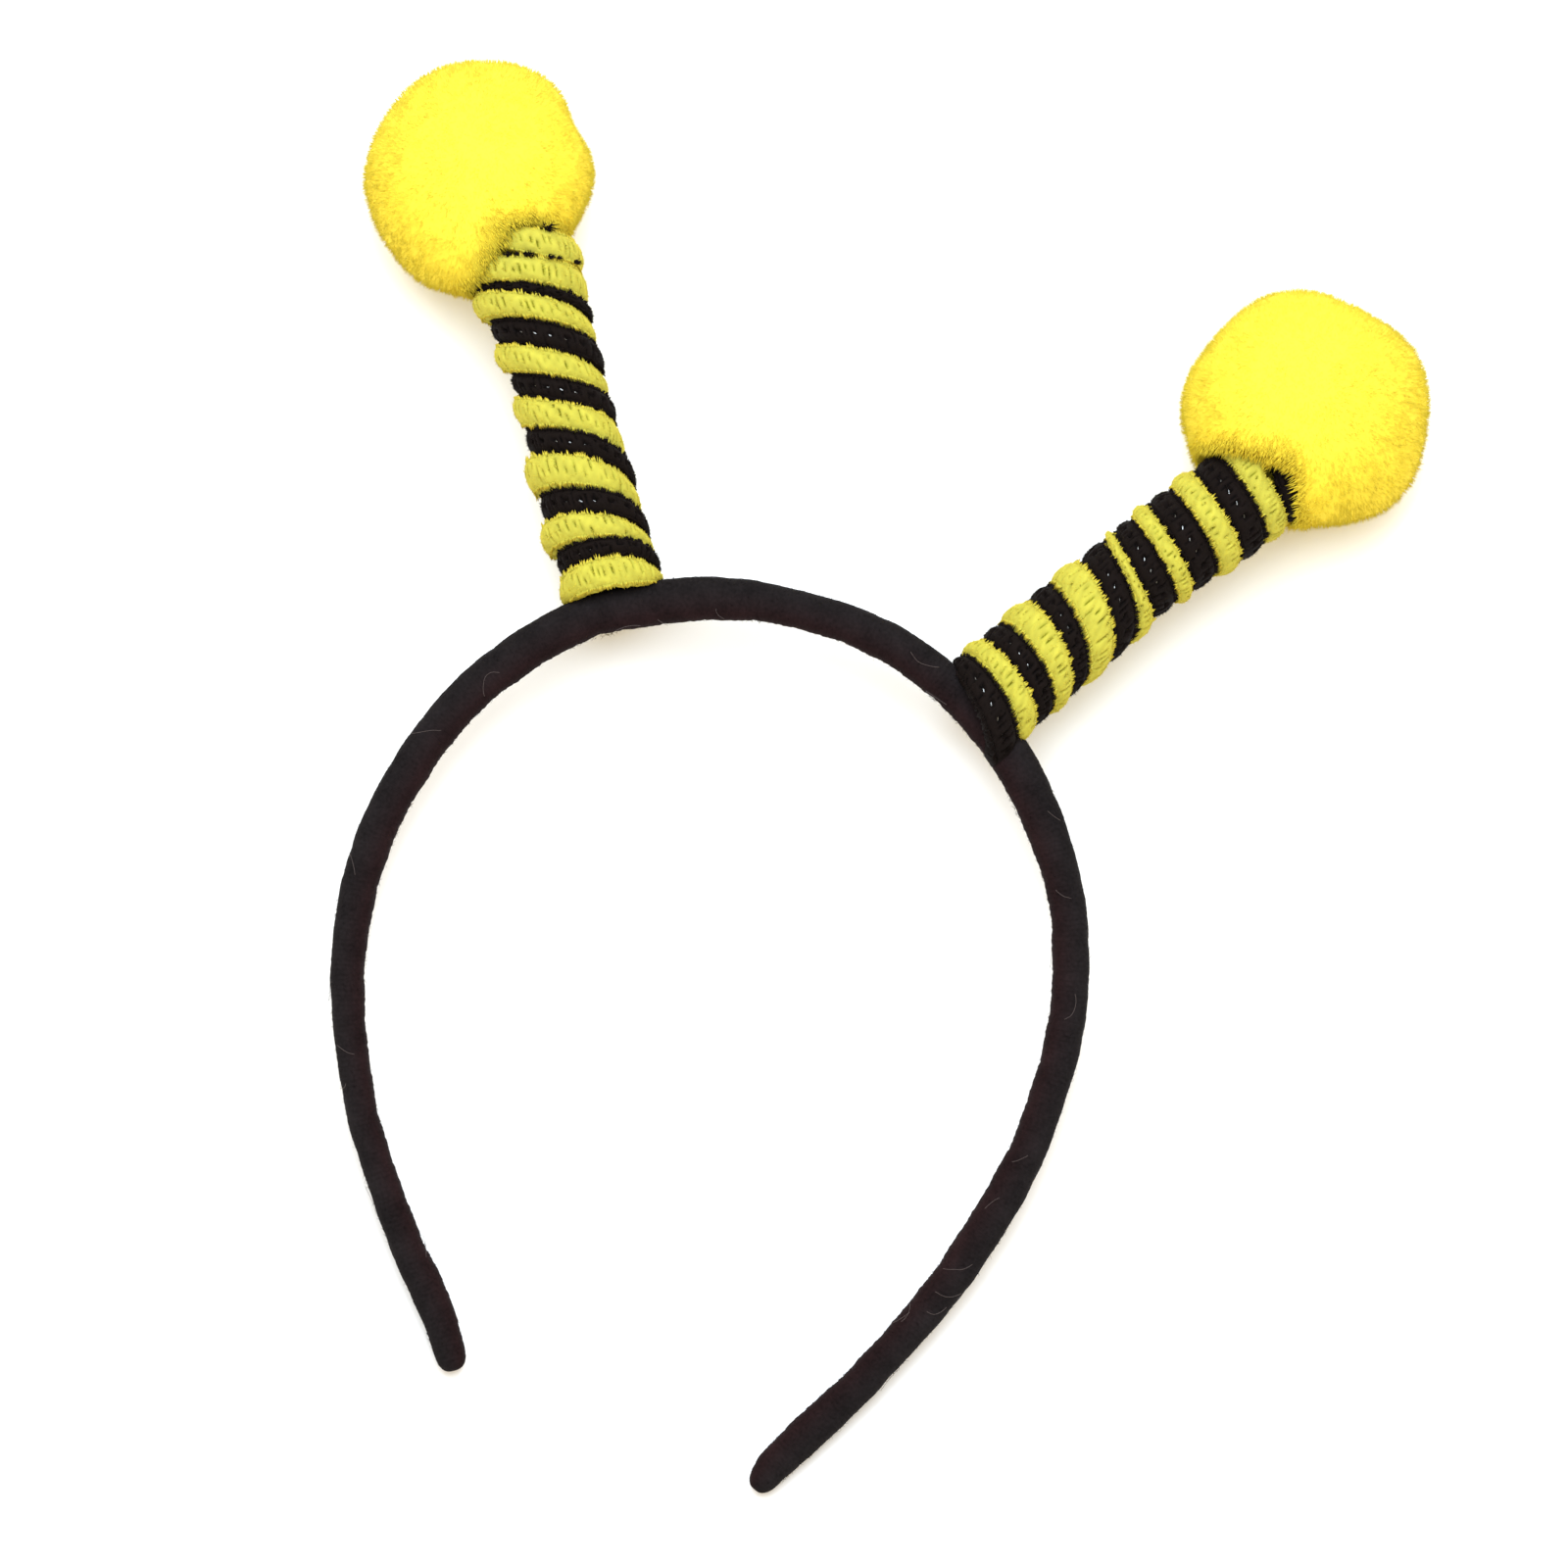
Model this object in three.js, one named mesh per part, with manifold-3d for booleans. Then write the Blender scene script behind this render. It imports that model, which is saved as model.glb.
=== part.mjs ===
// Costume headband with two striped antennae, each ending in a pompom, lying at rest on a flat surface.
// Millimetres, +Z up, +X to the right, +Y from the band's tips towards the pompoms.
import * as THREE from 'three';
import Module from 'manifold-3d';
import { LoftGeometry } from 'three/addons/geometries/LoftGeometry.js';
import { mergeVertices } from 'three/addons/utils/BufferGeometryUtils.js';

// Rest on the surface: the loop leans up from its tips to the pompoms, and pieces keep a small gap.
const REST_LEAN = 6.8;
const GAP = 0.3;

// Band, a row for each section from the left tip over the crown to the right tip.
// turn: degrees clockwise from the crown, seen from above. reach: from the loop's middle to the section's.
// thick: across the section in the loop's plane. wide: across it at right angles to that plane.
const BAND = [
  { turn: -161.6, reach: 85.8, thick: 5.0, wide: 6.6 },
  { turn: -153.2, reach: 77.1, thick: 6.0, wide: 8.0 },
  { turn: -144.2, reach: 72.3, thick: 5.8, wide: 8.6 },
  { turn: -126.0, reach: 66.9, thick: 5.6, wide: 9.0 },
  { turn: -107.3, reach: 64.5, thick: 6.0, wide: 9.0 },
  { turn: -90.0, reach: 63.9, thick: 6.6, wide: 9.0 },
  { turn: -72.0, reach: 63.8, thick: 6.9, wide: 9.0 },
  { turn: -54.0, reach: 64.6, thick: 7.2, wide: 9.0 },
  { turn: -36.0, reach: 65.6, thick: 7.6, wide: 9.2 },
  { turn: -18.0, reach: 65.6, thick: 8.0, wide: 9.2 },
  { turn: 0.0, reach: 65.8, thick: 6.8, wide: 9.0 },
  { turn: 18.0, reach: 66.2, thick: 7.1, wide: 9.2 },
  { turn: 36.0, reach: 66.0, thick: 7.6, wide: 9.2 },
  { turn: 48.0, reach: 65.5, thick: 7.7, wide: 9.0 },
  { turn: 66.0, reach: 65.3, thick: 6.5, wide: 9.0 },
  { turn: 84.0, reach: 65.0, thick: 6.6, wide: 9.0 },
  { turn: 102.0, reach: 65.7, thick: 6.5, wide: 9.0 },
  { turn: 117.0, reach: 67.9, thick: 6.9, wide: 9.0 },
  { turn: 131.0, reach: 72.0, thick: 6.6, wide: 8.8 },
  { turn: 143.0, reach: 77.8, thick: 6.2, wide: 8.4 },
  { turn: 152.0, reach: 84.0, thick: 6.7, wide: 8.0 },
  { turn: 157.8, reach: 89.6, thick: 6.5, wide: 7.2 },
  { turn: 160.3, reach: 94.1, thick: 4.6, wide: 5.6 },
];
const BAND_SIDES = 12;
const BAND_STEPS = 46;
const BAND_SQUARENESS = 2.6; // exponent of the section's superellipse, 2 is a plain ellipse
const TIP_LENGTH = 4.5; // over this length a tip rounds off
const TIP_STEPS = 3;

// Chenille: each antenna is a black and a yellow stem wound side by side in one left-handed coil.
const STEM = 4.8; // across a stem, pile included, measured out from the coil's axis
const PROUD = { black: -0.3, yellow: 0.3 }; // a stem's outer side stands this far out from the coil's reach
const STEM_SQUARENESS = 2.6; // of its section, as for the band
const STEM_SIDES = 7;
const STEM_STEPS = 12; // sections in one turn
const STEM_END = 0.12; // of a turn, over which an end rounds off
const UPPER_SIDE = 0.25; // of a turn from a coil's right side, where the stripes' heights are given
const END_SHARE = 0.35; // of the section, left at the very end

// Pompoms: blunt locks of fibre stand close together on a round head.
const LOCKS = 66;
const LOCK_SIDES = 5;
const LOCK_FOOT = 6.4; // radius of a lock where it leaves the head
const LOCK_TIP = 3.9; // radius at the rim of its outer end
const LOCK_CROWN = 1.0; // the end's middle stands this far past its rim
const LOCK_UNEVEN = 0.3; // locks end this much further out or in, by turns
const HEAD_SHARE = 0.74; // of the pompom's reach, the radius of the head
const HEAD_DETAIL = 2;
const SOCKET_DEPTH = 1.6; // room beyond the coil's last turn
const SOCKET_ROUND = 3.0; // over this length the room's end rounds off
const SOCKET_END = 0.6; // of the room's width, left at its very end
const PARTING = 10; // the fibres are parted this far up above the coil

// Antennae. foot: where the coil's axis meets the band, from the loop's middle. lean: degrees clockwise
// from +Y. In turns, black and yellow are the heights along the axis at which the two stripes begin on the
// upper side; reach is the coil's outer radius; aside is how far its middle lies to the right of the
// straight axis; tilt lowers a turn on its right side; nod lowers it on its under side.
// black and yellow give the first and last turn of each stem, counted in rows of that table.
// In the pompom, lumps say how far (by) its outline stands out towards a direction, degrees from +X.
const ANTENNAE = {
  left: {
    foot: { x: -31.5, y: 60.5 },
    lean: -27.6,
    turns: [
      { black: -13.0, yellow: -7.8, reach: 9.0, aside: 0.0, tilt: -1.0, nod: 2.4 },
      { black: -3.6, yellow: 1.4, reach: 9.0, aside: 0.0, tilt: -1.0, nod: 2.4 },
      { black: 7.6, yellow: 11.1, reach: 9.0, aside: -0.6, tilt: -1.0, nod: 4.0 },
      { black: 15.8, yellow: 20.4, reach: 9.3, aside: -1.3, tilt: 0.8, nod: 4.4 },
      { black: 26.5, yellow: 30.8, reach: 9.2, aside: -1.4, tilt: 1.9, nod: 3.8 },
      { black: 35.9, yellow: 40.5, reach: 8.5, aside: -1.4, tilt: 1.9, nod: 1.4 },
      { black: 45.8, yellow: 51.2, reach: 9.0, aside: -1.9, tilt: 2.2, nod: 1.9 },
      { black: 56.2, yellow: 58.0, reach: 9.9, aside: -2.8, tilt: 2.6, nod: 2.3 },
      { black: 62.5, yellow: 63.2, reach: 9.4, aside: -3.0, tilt: 2.4, nod: 1.6 },
      { black: 67.5, yellow: 69.0, reach: 9.0, aside: -3.2, tilt: 2.0, nod: 1.4 },
      { black: 75.0, yellow: 79.0, reach: 9.0, aside: -3.2, tilt: 2.0, nod: 1.4 },
    ],
    black: { first: 1.12, last: 7.8 },
    yellow: { first: 0.62, last: 8.1 },
    pompom: {
      along: 78.4,
      aside: -6.5,
      reach: 20.7,
      lumps: [
        { toward: 44, by: -1.6 },
        { toward: 76, by: 1.1 },
        { toward: 164, by: -0.7 },
        { toward: 261, by: 1.1 },
        { toward: 358, by: -0.7 },
      ],
    },
  },
  right: {
    foot: { x: 37.8, y: 58.8 },
    lean: 37.9,
    turns: [
      { black: -13.0, yellow: -7.4, reach: 9.6, aside: 0.4, tilt: 0.8, nod: 2.0 },
      { black: -3.6, yellow: 2.4, reach: 10.4, aside: 0.9, tilt: 0.8, nod: 2.0 },
      { black: 6.7, yellow: 11.3, reach: 9.6, aside: -0.4, tilt: -1.2, nod: 3.3 },
      { black: 16.7, yellow: 20.7, reach: 9.6, aside: -0.8, tilt: 0.0, nod: 4.2 },
      { black: 27.0, yellow: 31.8, reach: 9.5, aside: -1.0, tilt: 1.4, nod: 3.5 },
      { black: 33.7, yellow: 39.1, reach: 8.9, aside: -1.5, tilt: 0.2, nod: 0.4 },
      { black: 42.5, yellow: 48.2, reach: 9.3, aside: -1.4, tilt: -0.6, nod: 1.2 },
      { black: 53.0, yellow: 58.7, reach: 9.8, aside: -0.8, tilt: -1.0, nod: 1.6 },
      { black: 63.0, yellow: 67.8, reach: 9.4, aside: -0.7, tilt: -1.0, nod: 1.2 },
      { black: 72.5, yellow: 77.0, reach: 9.0, aside: -0.7, tilt: -1.0, nod: 1.0 },
    ],
    black: { first: 0.72, last: 8.02 },
    yellow: { first: 0.7, last: 7.4 },
    pompom: {
      along: 76.3,
      aside: -6.4,
      reach: 21.7,
      lumps: [
        { toward: 44, by: 0.5 },
        { toward: 74, by: -1.4 },
        { toward: 134, by: -1.0 },
        { toward: 284, by: -0.4 },
        { toward: 329, by: 2.0 },
      ],
    },
  },
};
const LUMP_SPREAD = 18; // degrees, how wide a lump is

// Colours
const CLOTH_BLACK = 0x2a2224;
const PILE_BLACK = 0x2a201c;
const PILE_YELLOW = 0xdcd645;
const POMPOM_YELLOW = 0xfaf04c;
const CLOTH_ROUGHNESS = 0.9;
const PILE_ROUGHNESS = 0.8;

const degrees = THREE.MathUtils.degToRad;
const wasm = await Module();
wasm.setup();

// A geometry as a solid that can be joined and cut.
function solidOf(geometry) {
  const bare = new THREE.BufferGeometry();
  bare.setAttribute('position', geometry.getAttribute('position'));
  bare.setIndex(geometry.getIndex());
  const merged = mergeVertices(bare);
  const mesh = new wasm.Mesh({
    numProp: 3,
    vertProperties: new Float32Array(merged.attributes.position.array),
    triVerts: new Uint32Array(merged.index.array),
  });
  return new wasm.Manifold(mesh);
}

// The largest body of a solid as a geometry again: a cut can leave crumbs beside it.
function geometryOf(solid) {
  const bodies = solid.decompose();
  const largest = bodies.reduce((a, b) => (a.volume() > b.volume() ? a : b));
  const mesh = largest.getMesh();
  const geometry = new THREE.BufferGeometry();
  geometry.setAttribute('position', new THREE.BufferAttribute(mesh.vertProperties, 3));
  geometry.setIndex(new THREE.BufferAttribute(mesh.triVerts, 1));
  geometry.computeVertexNormals();
  return geometry;
}

// A smooth curve through some columns of a table; whole steps of its parameter are the table's rows.
function curveThrough(rows, pick) {
  return new THREE.CatmullRomCurve3(rows.map((row) => new THREE.Vector3(...pick(row))));
}

// The value of one column at a place along another, eased from row to row.
function lookUp(rows, key, name, at) {
  const next = rows.findIndex((row) => row[key] >= at);
  if (next === 0) return rows[0][name];
  if (next < 0) return rows[rows.length - 1][name];
  const share = THREE.MathUtils.smoothstep(at, rows[next - 1][key], rows[next][key]);
  return THREE.MathUtils.lerp(rows[next - 1][name], rows[next][name], share);
}

// A power that keeps its sign, for superellipses.
function signedPower(value, power) {
  return Math.sign(value) * Math.abs(value) ** power;
}

// The band is lofted through superellipses along a curve; more adds to its thickness and width.
function bandGeometry(more = 0) {
  const path = curveThrough(BAND, ({ turn, reach }) => [
    reach * Math.sin(degrees(turn)),
    reach * Math.cos(degrees(turn)),
    0,
  ]);
  const sizes = curveThrough(BAND, ({ thick, wide }) => [thick, wide, 0]);
  const length = path.getLength();
  const tip = [];
  for (let k = 1; k <= TIP_STEPS; k++) {
    tip.push(TIP_LENGTH * (1 - Math.cos((k / TIP_STEPS) * (Math.PI / 2))));
  }
  const middle = [];
  for (let k = 1; k < BAND_STEPS; k++) {
    middle.push(TIP_LENGTH + (k / BAND_STEPS) * (length - 2 * TIP_LENGTH));
  }
  const stations = [...tip, ...middle, ...tip.map((d) => length - d).reverse()];
  const sections = stations.map((station) => {
    const t = path.getUtoTmapping(station / length);
    const centre = path.getPoint(t);
    const ahead = path.getTangent(t);
    const outward = new THREE.Vector3(-ahead.y, ahead.x, 0);
    const size = sizes.getPoint(t);
    const fromTip = Math.min(station, length - station, TIP_LENGTH) / TIP_LENGTH;
    const round = Math.sqrt(1 - (1 - fromTip) ** 2);
    const section = [];
    for (let k = 0; k < BAND_SIDES; k++) {
      const angle = ((k + 0.5) / BAND_SIDES) * 2 * Math.PI;
      const out = (signedPower(Math.cos(angle), 2 / BAND_SQUARENESS) * (size.x * round + more)) / 2;
      const up = (signedPower(Math.sin(angle), 2 / BAND_SQUARENESS) * (size.y * round + more)) / 2;
      section.push(centre.clone().addScaledVector(outward, out).setZ(up));
    }
    return section;
  });
  return new LoftGeometry(sections, { capStart: true, capEnd: true });
}

// Places a point given by its height along an antenna, its distance from the axis and its turn about it.
function antennaPoint({ foot, lean, turns }, height, distance, turn) {
  const reach = lookUp(turns, 'black', 'reach', height);
  const right = (distance / reach) * Math.cos(turn);
  const up = (distance / reach) * Math.sin(turn);
  const tilt = lookUp(turns, 'black', 'tilt', height);
  const nod = lookUp(turns, 'black', 'nod', height);
  const along = height - tilt * right - nod * (1 - up);
  const across = lookUp(turns, 'black', 'aside', height) + distance * Math.cos(turn);
  const angle = degrees(lean);
  return new THREE.Vector3(
    foot.x + along * Math.sin(angle) + across * Math.cos(angle),
    foot.y + along * Math.cos(angle) - across * Math.sin(angle),
    distance * Math.sin(turn),
  );
}

// The heights at which the black stripe (x) and the yellow one (y) begin, for a row or part of a row.
function stripeEdges({ turns }, row) {
  return curveThrough(turns, ({ black, yellow }) => [black, yellow, 0]).getPoint(row / (turns.length - 1));
}

// One stem: its section fills the stripe between the two edges that the table gives for its colour.
function stemGeometry(antenna, colour) {
  const { turns } = antenna;
  const { first, last } = antenna[colour];
  const steps = [];
  for (let k = Math.ceil(first * STEM_STEPS); k <= last * STEM_STEPS; k++) steps.push(k / STEM_STEPS);
  const sections = steps.map((row) => {
    const here = stripeEdges(antenna, row);
    const low = colour === 'black' ? here.x : here.y;
    const high = colour === 'black' ? here.y : stripeEdges(antenna, row + 1).x;
    const fromEnd = Math.min(row - first, last - row, STEM_END) / STEM_END;
    const share = THREE.MathUtils.lerp(END_SHARE, 1, fromEnd);
    const middle = (low + high) / 2;
    const half = ((high - low - GAP) / 2) * share;
    const outer = lookUp(turns, 'black', 'reach', middle) + PROUD[colour];
    const turn = (row + UPPER_SIDE) * 2 * Math.PI;
    const section = [];
    for (let k = 0; k < STEM_SIDES; k++) {
      const angle = (k / STEM_SIDES) * 2 * Math.PI;
      const height = middle + half * signedPower(Math.sin(angle), 2 / STEM_SQUARENESS);
      const distance = outer - (STEM / 2) * (1 - share * signedPower(Math.cos(angle), 2 / STEM_SQUARENESS));
      section.push(antennaPoint(antenna, height, distance, turn));
    }
    return section;
  });
  return new LoftGeometry(sections, { capStart: true, capEnd: true });
}

// The room that an antenna's coil takes, from half way up to just past its end, with the parting above it.
function coilRoom(antenna) {
  const { turns, black, yellow } = antenna;
  const last = Math.max(stripeEdges(antenna, black.last).y, stripeEdges(antenna, yellow.last + 1).x);
  const end = last + SOCKET_DEPTH;
  const sides = 2 * STEM_STEPS;
  const sections = [];
  for (let height = end / 2; height < end - SOCKET_ROUND; height += end / STEM_STEPS) sections.push(height);
  sections.push(end - SOCKET_ROUND, end - SOCKET_ROUND / 2, end);
  const rings = sections.map((height) => {
    const past = Math.max(height - end + SOCKET_ROUND, 0) / SOCKET_ROUND;
    const narrowing = THREE.MathUtils.lerp(1, SOCKET_END, past ** 2);
    const reach = (lookUp(turns, 'black', 'reach', height) + PROUD.yellow + GAP) * narrowing;
    const ring = [];
    for (let k = 0; k < sides; k++) {
      const point = antennaPoint(antenna, height, reach, -(k / sides) * 2 * Math.PI);
      if (point.z > 0) point.z += PARTING;
      ring.push(point);
    }
    return ring;
  });
  return solidOf(new LoftGeometry(rings, { capStart: true, capEnd: true }));
}

// How far a pompom's fibres reach in a direction: its mean reach with the lumps of its outline.
function pompomReach({ reach, lumps }, direction) {
  const lump = lumps.reduce((sum, { toward, by }) => {
    const to = new THREE.Vector3(Math.cos(degrees(toward)), Math.sin(degrees(toward)), 0);
    const off = THREE.MathUtils.radToDeg(direction.angleTo(to)) / LUMP_SPREAD;
    return sum + by * Math.exp(-(off ** 2) / 2);
  }, 0);
  return reach + lump;
}

// Directions spread evenly over a ball along a spiral.
function spiralDirections(count) {
  const golden = Math.PI * (3 - Math.sqrt(5));
  const directions = [];
  for (let k = 0; k < count; k++) {
    const up = 1 - (2 * (k + 0.5)) / count;
    const ring = Math.sqrt(1 - up ** 2);
    directions.push(new THREE.Vector3(ring * Math.cos(golden * k), ring * Math.sin(golden * k), up));
  }
  return directions;
}

// A pompom about its own middle: a round head with a blunt lock in each direction, fused.
function pompomSolid(pompom) {
  const foot = pompom.reach * HEAD_SHARE - LOCK_CROWN;
  const head = new THREE.IcosahedronGeometry(pompom.reach * HEAD_SHARE, HEAD_DETAIL);
  const upright = new THREE.Vector3(0, 1, 0);
  return spiralDirections(LOCKS).reduce((whole, direction, k) => {
    const end = pompomReach(pompom, direction) + (k % 2 === 0 ? LOCK_UNEVEN : -LOCK_UNEVEN);
    const profile = [
      new THREE.Vector2(0, foot),
      new THREE.Vector2(LOCK_FOOT, foot),
      new THREE.Vector2(LOCK_TIP, end - LOCK_CROWN),
      new THREE.Vector2(0, end),
    ];
    const lock = new THREE.LatheGeometry(profile, LOCK_SIDES);
    lock.applyQuaternion(new THREE.Quaternion().setFromUnitVectors(upright, direction));
    return whole.add(solidOf(lock));
  }, solidOf(head));
}

// The lowest height of a geometry once the loop leans as it does at rest.
function lowestAtRest(geometry) {
  const rest = new THREE.Matrix4().makeRotationX(degrees(REST_LEAN));
  const points = geometry.getAttribute('position').clone().applyMatrix4(rest);
  return new THREE.Box3().setFromBufferAttribute(points).min.z;
}

// A pompom let down onto the surface beside its antenna's end, with room for the coil's last turns.
function pompomGeometry(antenna, surface) {
  const { pompom, foot, lean } = antenna;
  const angle = degrees(lean);
  const solid = pompomSolid(pompom);
  const x = foot.x + pompom.along * Math.sin(angle) + pompom.aside * Math.cos(angle);
  const y = foot.y + pompom.along * Math.cos(angle) - pompom.aside * Math.sin(angle);
  const low = lowestAtRest(geometryOf(solid.translate([x, y, 0])));
  const z = (surface - low) / Math.cos(degrees(REST_LEAN));
  return geometryOf(solid.translate([x, y, z]).subtract(coilRoom(antenna)));
}

// A named piece with its material.
function pieceOf(name, geometry, color, roughness) {
  const piece = new THREE.Mesh(geometry, new THREE.MeshStandardMaterial({ color, roughness, metalness: 0 }));
  piece.name = name;
  return piece;
}

const headband = new THREE.Group();
const loop = new THREE.Group();
loop.rotation.x = degrees(REST_LEAN);
headband.add(loop);

const band = bandGeometry();
const surface = lowestAtRest(band);
loop.add(pieceOf('band', band, CLOTH_BLACK, CLOTH_ROUGHNESS));
const bandRoom = solidOf(bandGeometry(2 * GAP));
for (const [side, antenna] of Object.entries(ANTENNAE)) {
  const black = geometryOf(solidOf(stemGeometry(antenna, 'black')).subtract(bandRoom));
  const yellow = geometryOf(solidOf(stemGeometry(antenna, 'yellow')).subtract(bandRoom));
  loop.add(pieceOf(`chenille_black_${side}`, black, PILE_BLACK, PILE_ROUGHNESS));
  loop.add(pieceOf(`chenille_yellow_${side}`, yellow, PILE_YELLOW, PILE_ROUGHNESS));
  const pompom = pompomGeometry(antenna, surface);
  loop.add(pieceOf(`pompom_${side}`, pompom, POMPOM_YELLOW, PILE_ROUGHNESS));
}

// The origin is the middle of the outline, on the surface.
headband.updateMatrixWorld(true);
const outline = new THREE.Box3().setFromObject(headband, true);
const middle = outline.getCenter(new THREE.Vector3());
headband.position.set(-middle.x, -middle.y, -outline.min.z);

export default headband;
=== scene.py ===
"""Dresses an antenna headband: cloth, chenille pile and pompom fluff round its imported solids.

Tables and working sizes are in millimetres about the middle of the band's loop, in the loop's plane, with +X
to the right and +Y towards the crown. Meshes are in metres, in the part's frame.
"""

import math

import bpy
import numpy as np
from bpy.props import FloatProperty, FloatVectorProperty, IntProperty, PointerProperty
from mathutils import Matrix, Vector


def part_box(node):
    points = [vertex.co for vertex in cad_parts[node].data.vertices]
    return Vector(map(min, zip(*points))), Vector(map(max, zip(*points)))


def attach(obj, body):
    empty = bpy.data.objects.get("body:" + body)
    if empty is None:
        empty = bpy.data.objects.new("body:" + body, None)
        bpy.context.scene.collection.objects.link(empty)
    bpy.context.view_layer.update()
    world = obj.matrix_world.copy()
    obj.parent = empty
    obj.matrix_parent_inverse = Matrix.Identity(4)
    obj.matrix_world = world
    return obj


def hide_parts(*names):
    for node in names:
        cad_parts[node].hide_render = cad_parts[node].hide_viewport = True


bl_info = {
    "name": "Antenna Headband",
    "version": (1, 0, 0),
    "blender": (4, 5, 0),
    "location": "View3D > Sidebar > Headband",
    "description": "Cloth, chenille and pompoms for a costume headband with striped antennae",
    "category": "Add Mesh",
}

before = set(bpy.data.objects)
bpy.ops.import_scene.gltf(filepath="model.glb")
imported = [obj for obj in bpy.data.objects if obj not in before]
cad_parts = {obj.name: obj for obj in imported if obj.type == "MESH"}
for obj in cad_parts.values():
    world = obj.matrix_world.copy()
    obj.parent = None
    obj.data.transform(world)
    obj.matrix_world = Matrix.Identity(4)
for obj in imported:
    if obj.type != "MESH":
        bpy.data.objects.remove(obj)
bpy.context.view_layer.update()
BODY = "root"
BAKE_MAP = "OFBake"
MM = 0.001
FULL_TURN = 2 * math.pi

# The loop leans up from its tips to the pompoms as it rests on the floor.
REST_LEAN = math.radians(6.8)
LEAN = np.array(Matrix.Rotation(REST_LEAN, 3, "X"))

# Band, a row for each section from the left tip over the crown to the right tip.
# turn: degrees clockwise from the crown, seen from above. reach: from the loop's middle to the section's.
# thick: across the section in the loop's plane. wide: across it at right angles to that plane.
BAND = np.array(
    [
        (-162.0, 85.6, 5.0, 6.6),
        (-158.8, 81.4, 5.8, 7.4),
        (-153.2, 76.7, 6.3, 8.0),
        (-144.2, 72.3, 5.8, 8.6),
        (-126.0, 66.9, 5.6, 9.0),
        (-107.3, 64.5, 6.0, 9.0),
        (-90.0, 63.9, 6.6, 9.0),
        (-72.0, 63.8, 6.9, 9.0),
        (-54.0, 64.6, 7.2, 9.0),
        (-36.0, 65.6, 7.6, 9.2),
        (-18.0, 65.6, 8.0, 9.2),
        (0.0, 65.8, 6.8, 9.0),
        (18.0, 66.2, 7.1, 9.2),
        (36.0, 66.0, 7.6, 9.2),
        (48.0, 65.5, 7.7, 9.0),
        (66.0, 65.3, 6.5, 9.0),
        (84.0, 65.0, 6.6, 9.0),
        (102.0, 65.7, 6.5, 9.0),
        (117.0, 67.9, 6.9, 9.0),
        (131.0, 72.0, 6.6, 8.8),
        (143.0, 77.8, 6.2, 8.4),
        (152.0, 84.0, 6.7, 8.0),
        (157.8, 89.6, 6.3, 7.2),
        (160.9, 94.2, 4.4, 5.6),
    ],
    dtype=[("turn", float), ("reach", float), ("thick", float), ("wide", float)],
)
BAND_SQUARENESS = 2.6  # exponent of the section's superellipse, 2 is a plain ellipse
TIP_LENGTH = 3.4  # over this length a tip rounds off
TIP_SQUARENESS = 2.8  # exponent of its rounding, as for the section
PATH_STEPS = 4000  # points on the band's middle line when its length is measured

# Dents on the band's inner side, beside the antennae's feet.
# turn: as in BAND. deep: how far the cloth goes in. long: half the dent's length.
DENTS = np.array(
    [
        (-32.4, 0.5, 1.6),
        (27.0, 0.45, 1.8),
        (49.6, 0.5, 2.2),
    ],
    dtype=[("turn", float), ("deep", float), ("long", float)],
)

# Antennae. In turns, black and yellow are the heights along the axis at which the two stripes begin on the
# upper side; reach is the coil's outer radius; aside is how far its middle lies to the right of the straight
# axis; tilt lowers a turn on its right side; nod lowers it on its under side.
TURN_COLUMNS = [(name, float) for name in ("black", "yellow", "reach", "aside", "tilt", "nod")]
# toward: degrees from +X. rise: degrees up out of the loop's plane. spread: how many degrees wide a lump is.
# by: how far the pompom stands out there.
LUMP_COLUMNS = [("toward", float), ("rise", float), ("spread", float), ("by", float)]
# Tufts of black pile that show beyond the black stem's end. row: as in turns. wide: across the tuft.
STRAY_COLUMNS = [("row", float), ("wide", float)]

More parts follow.
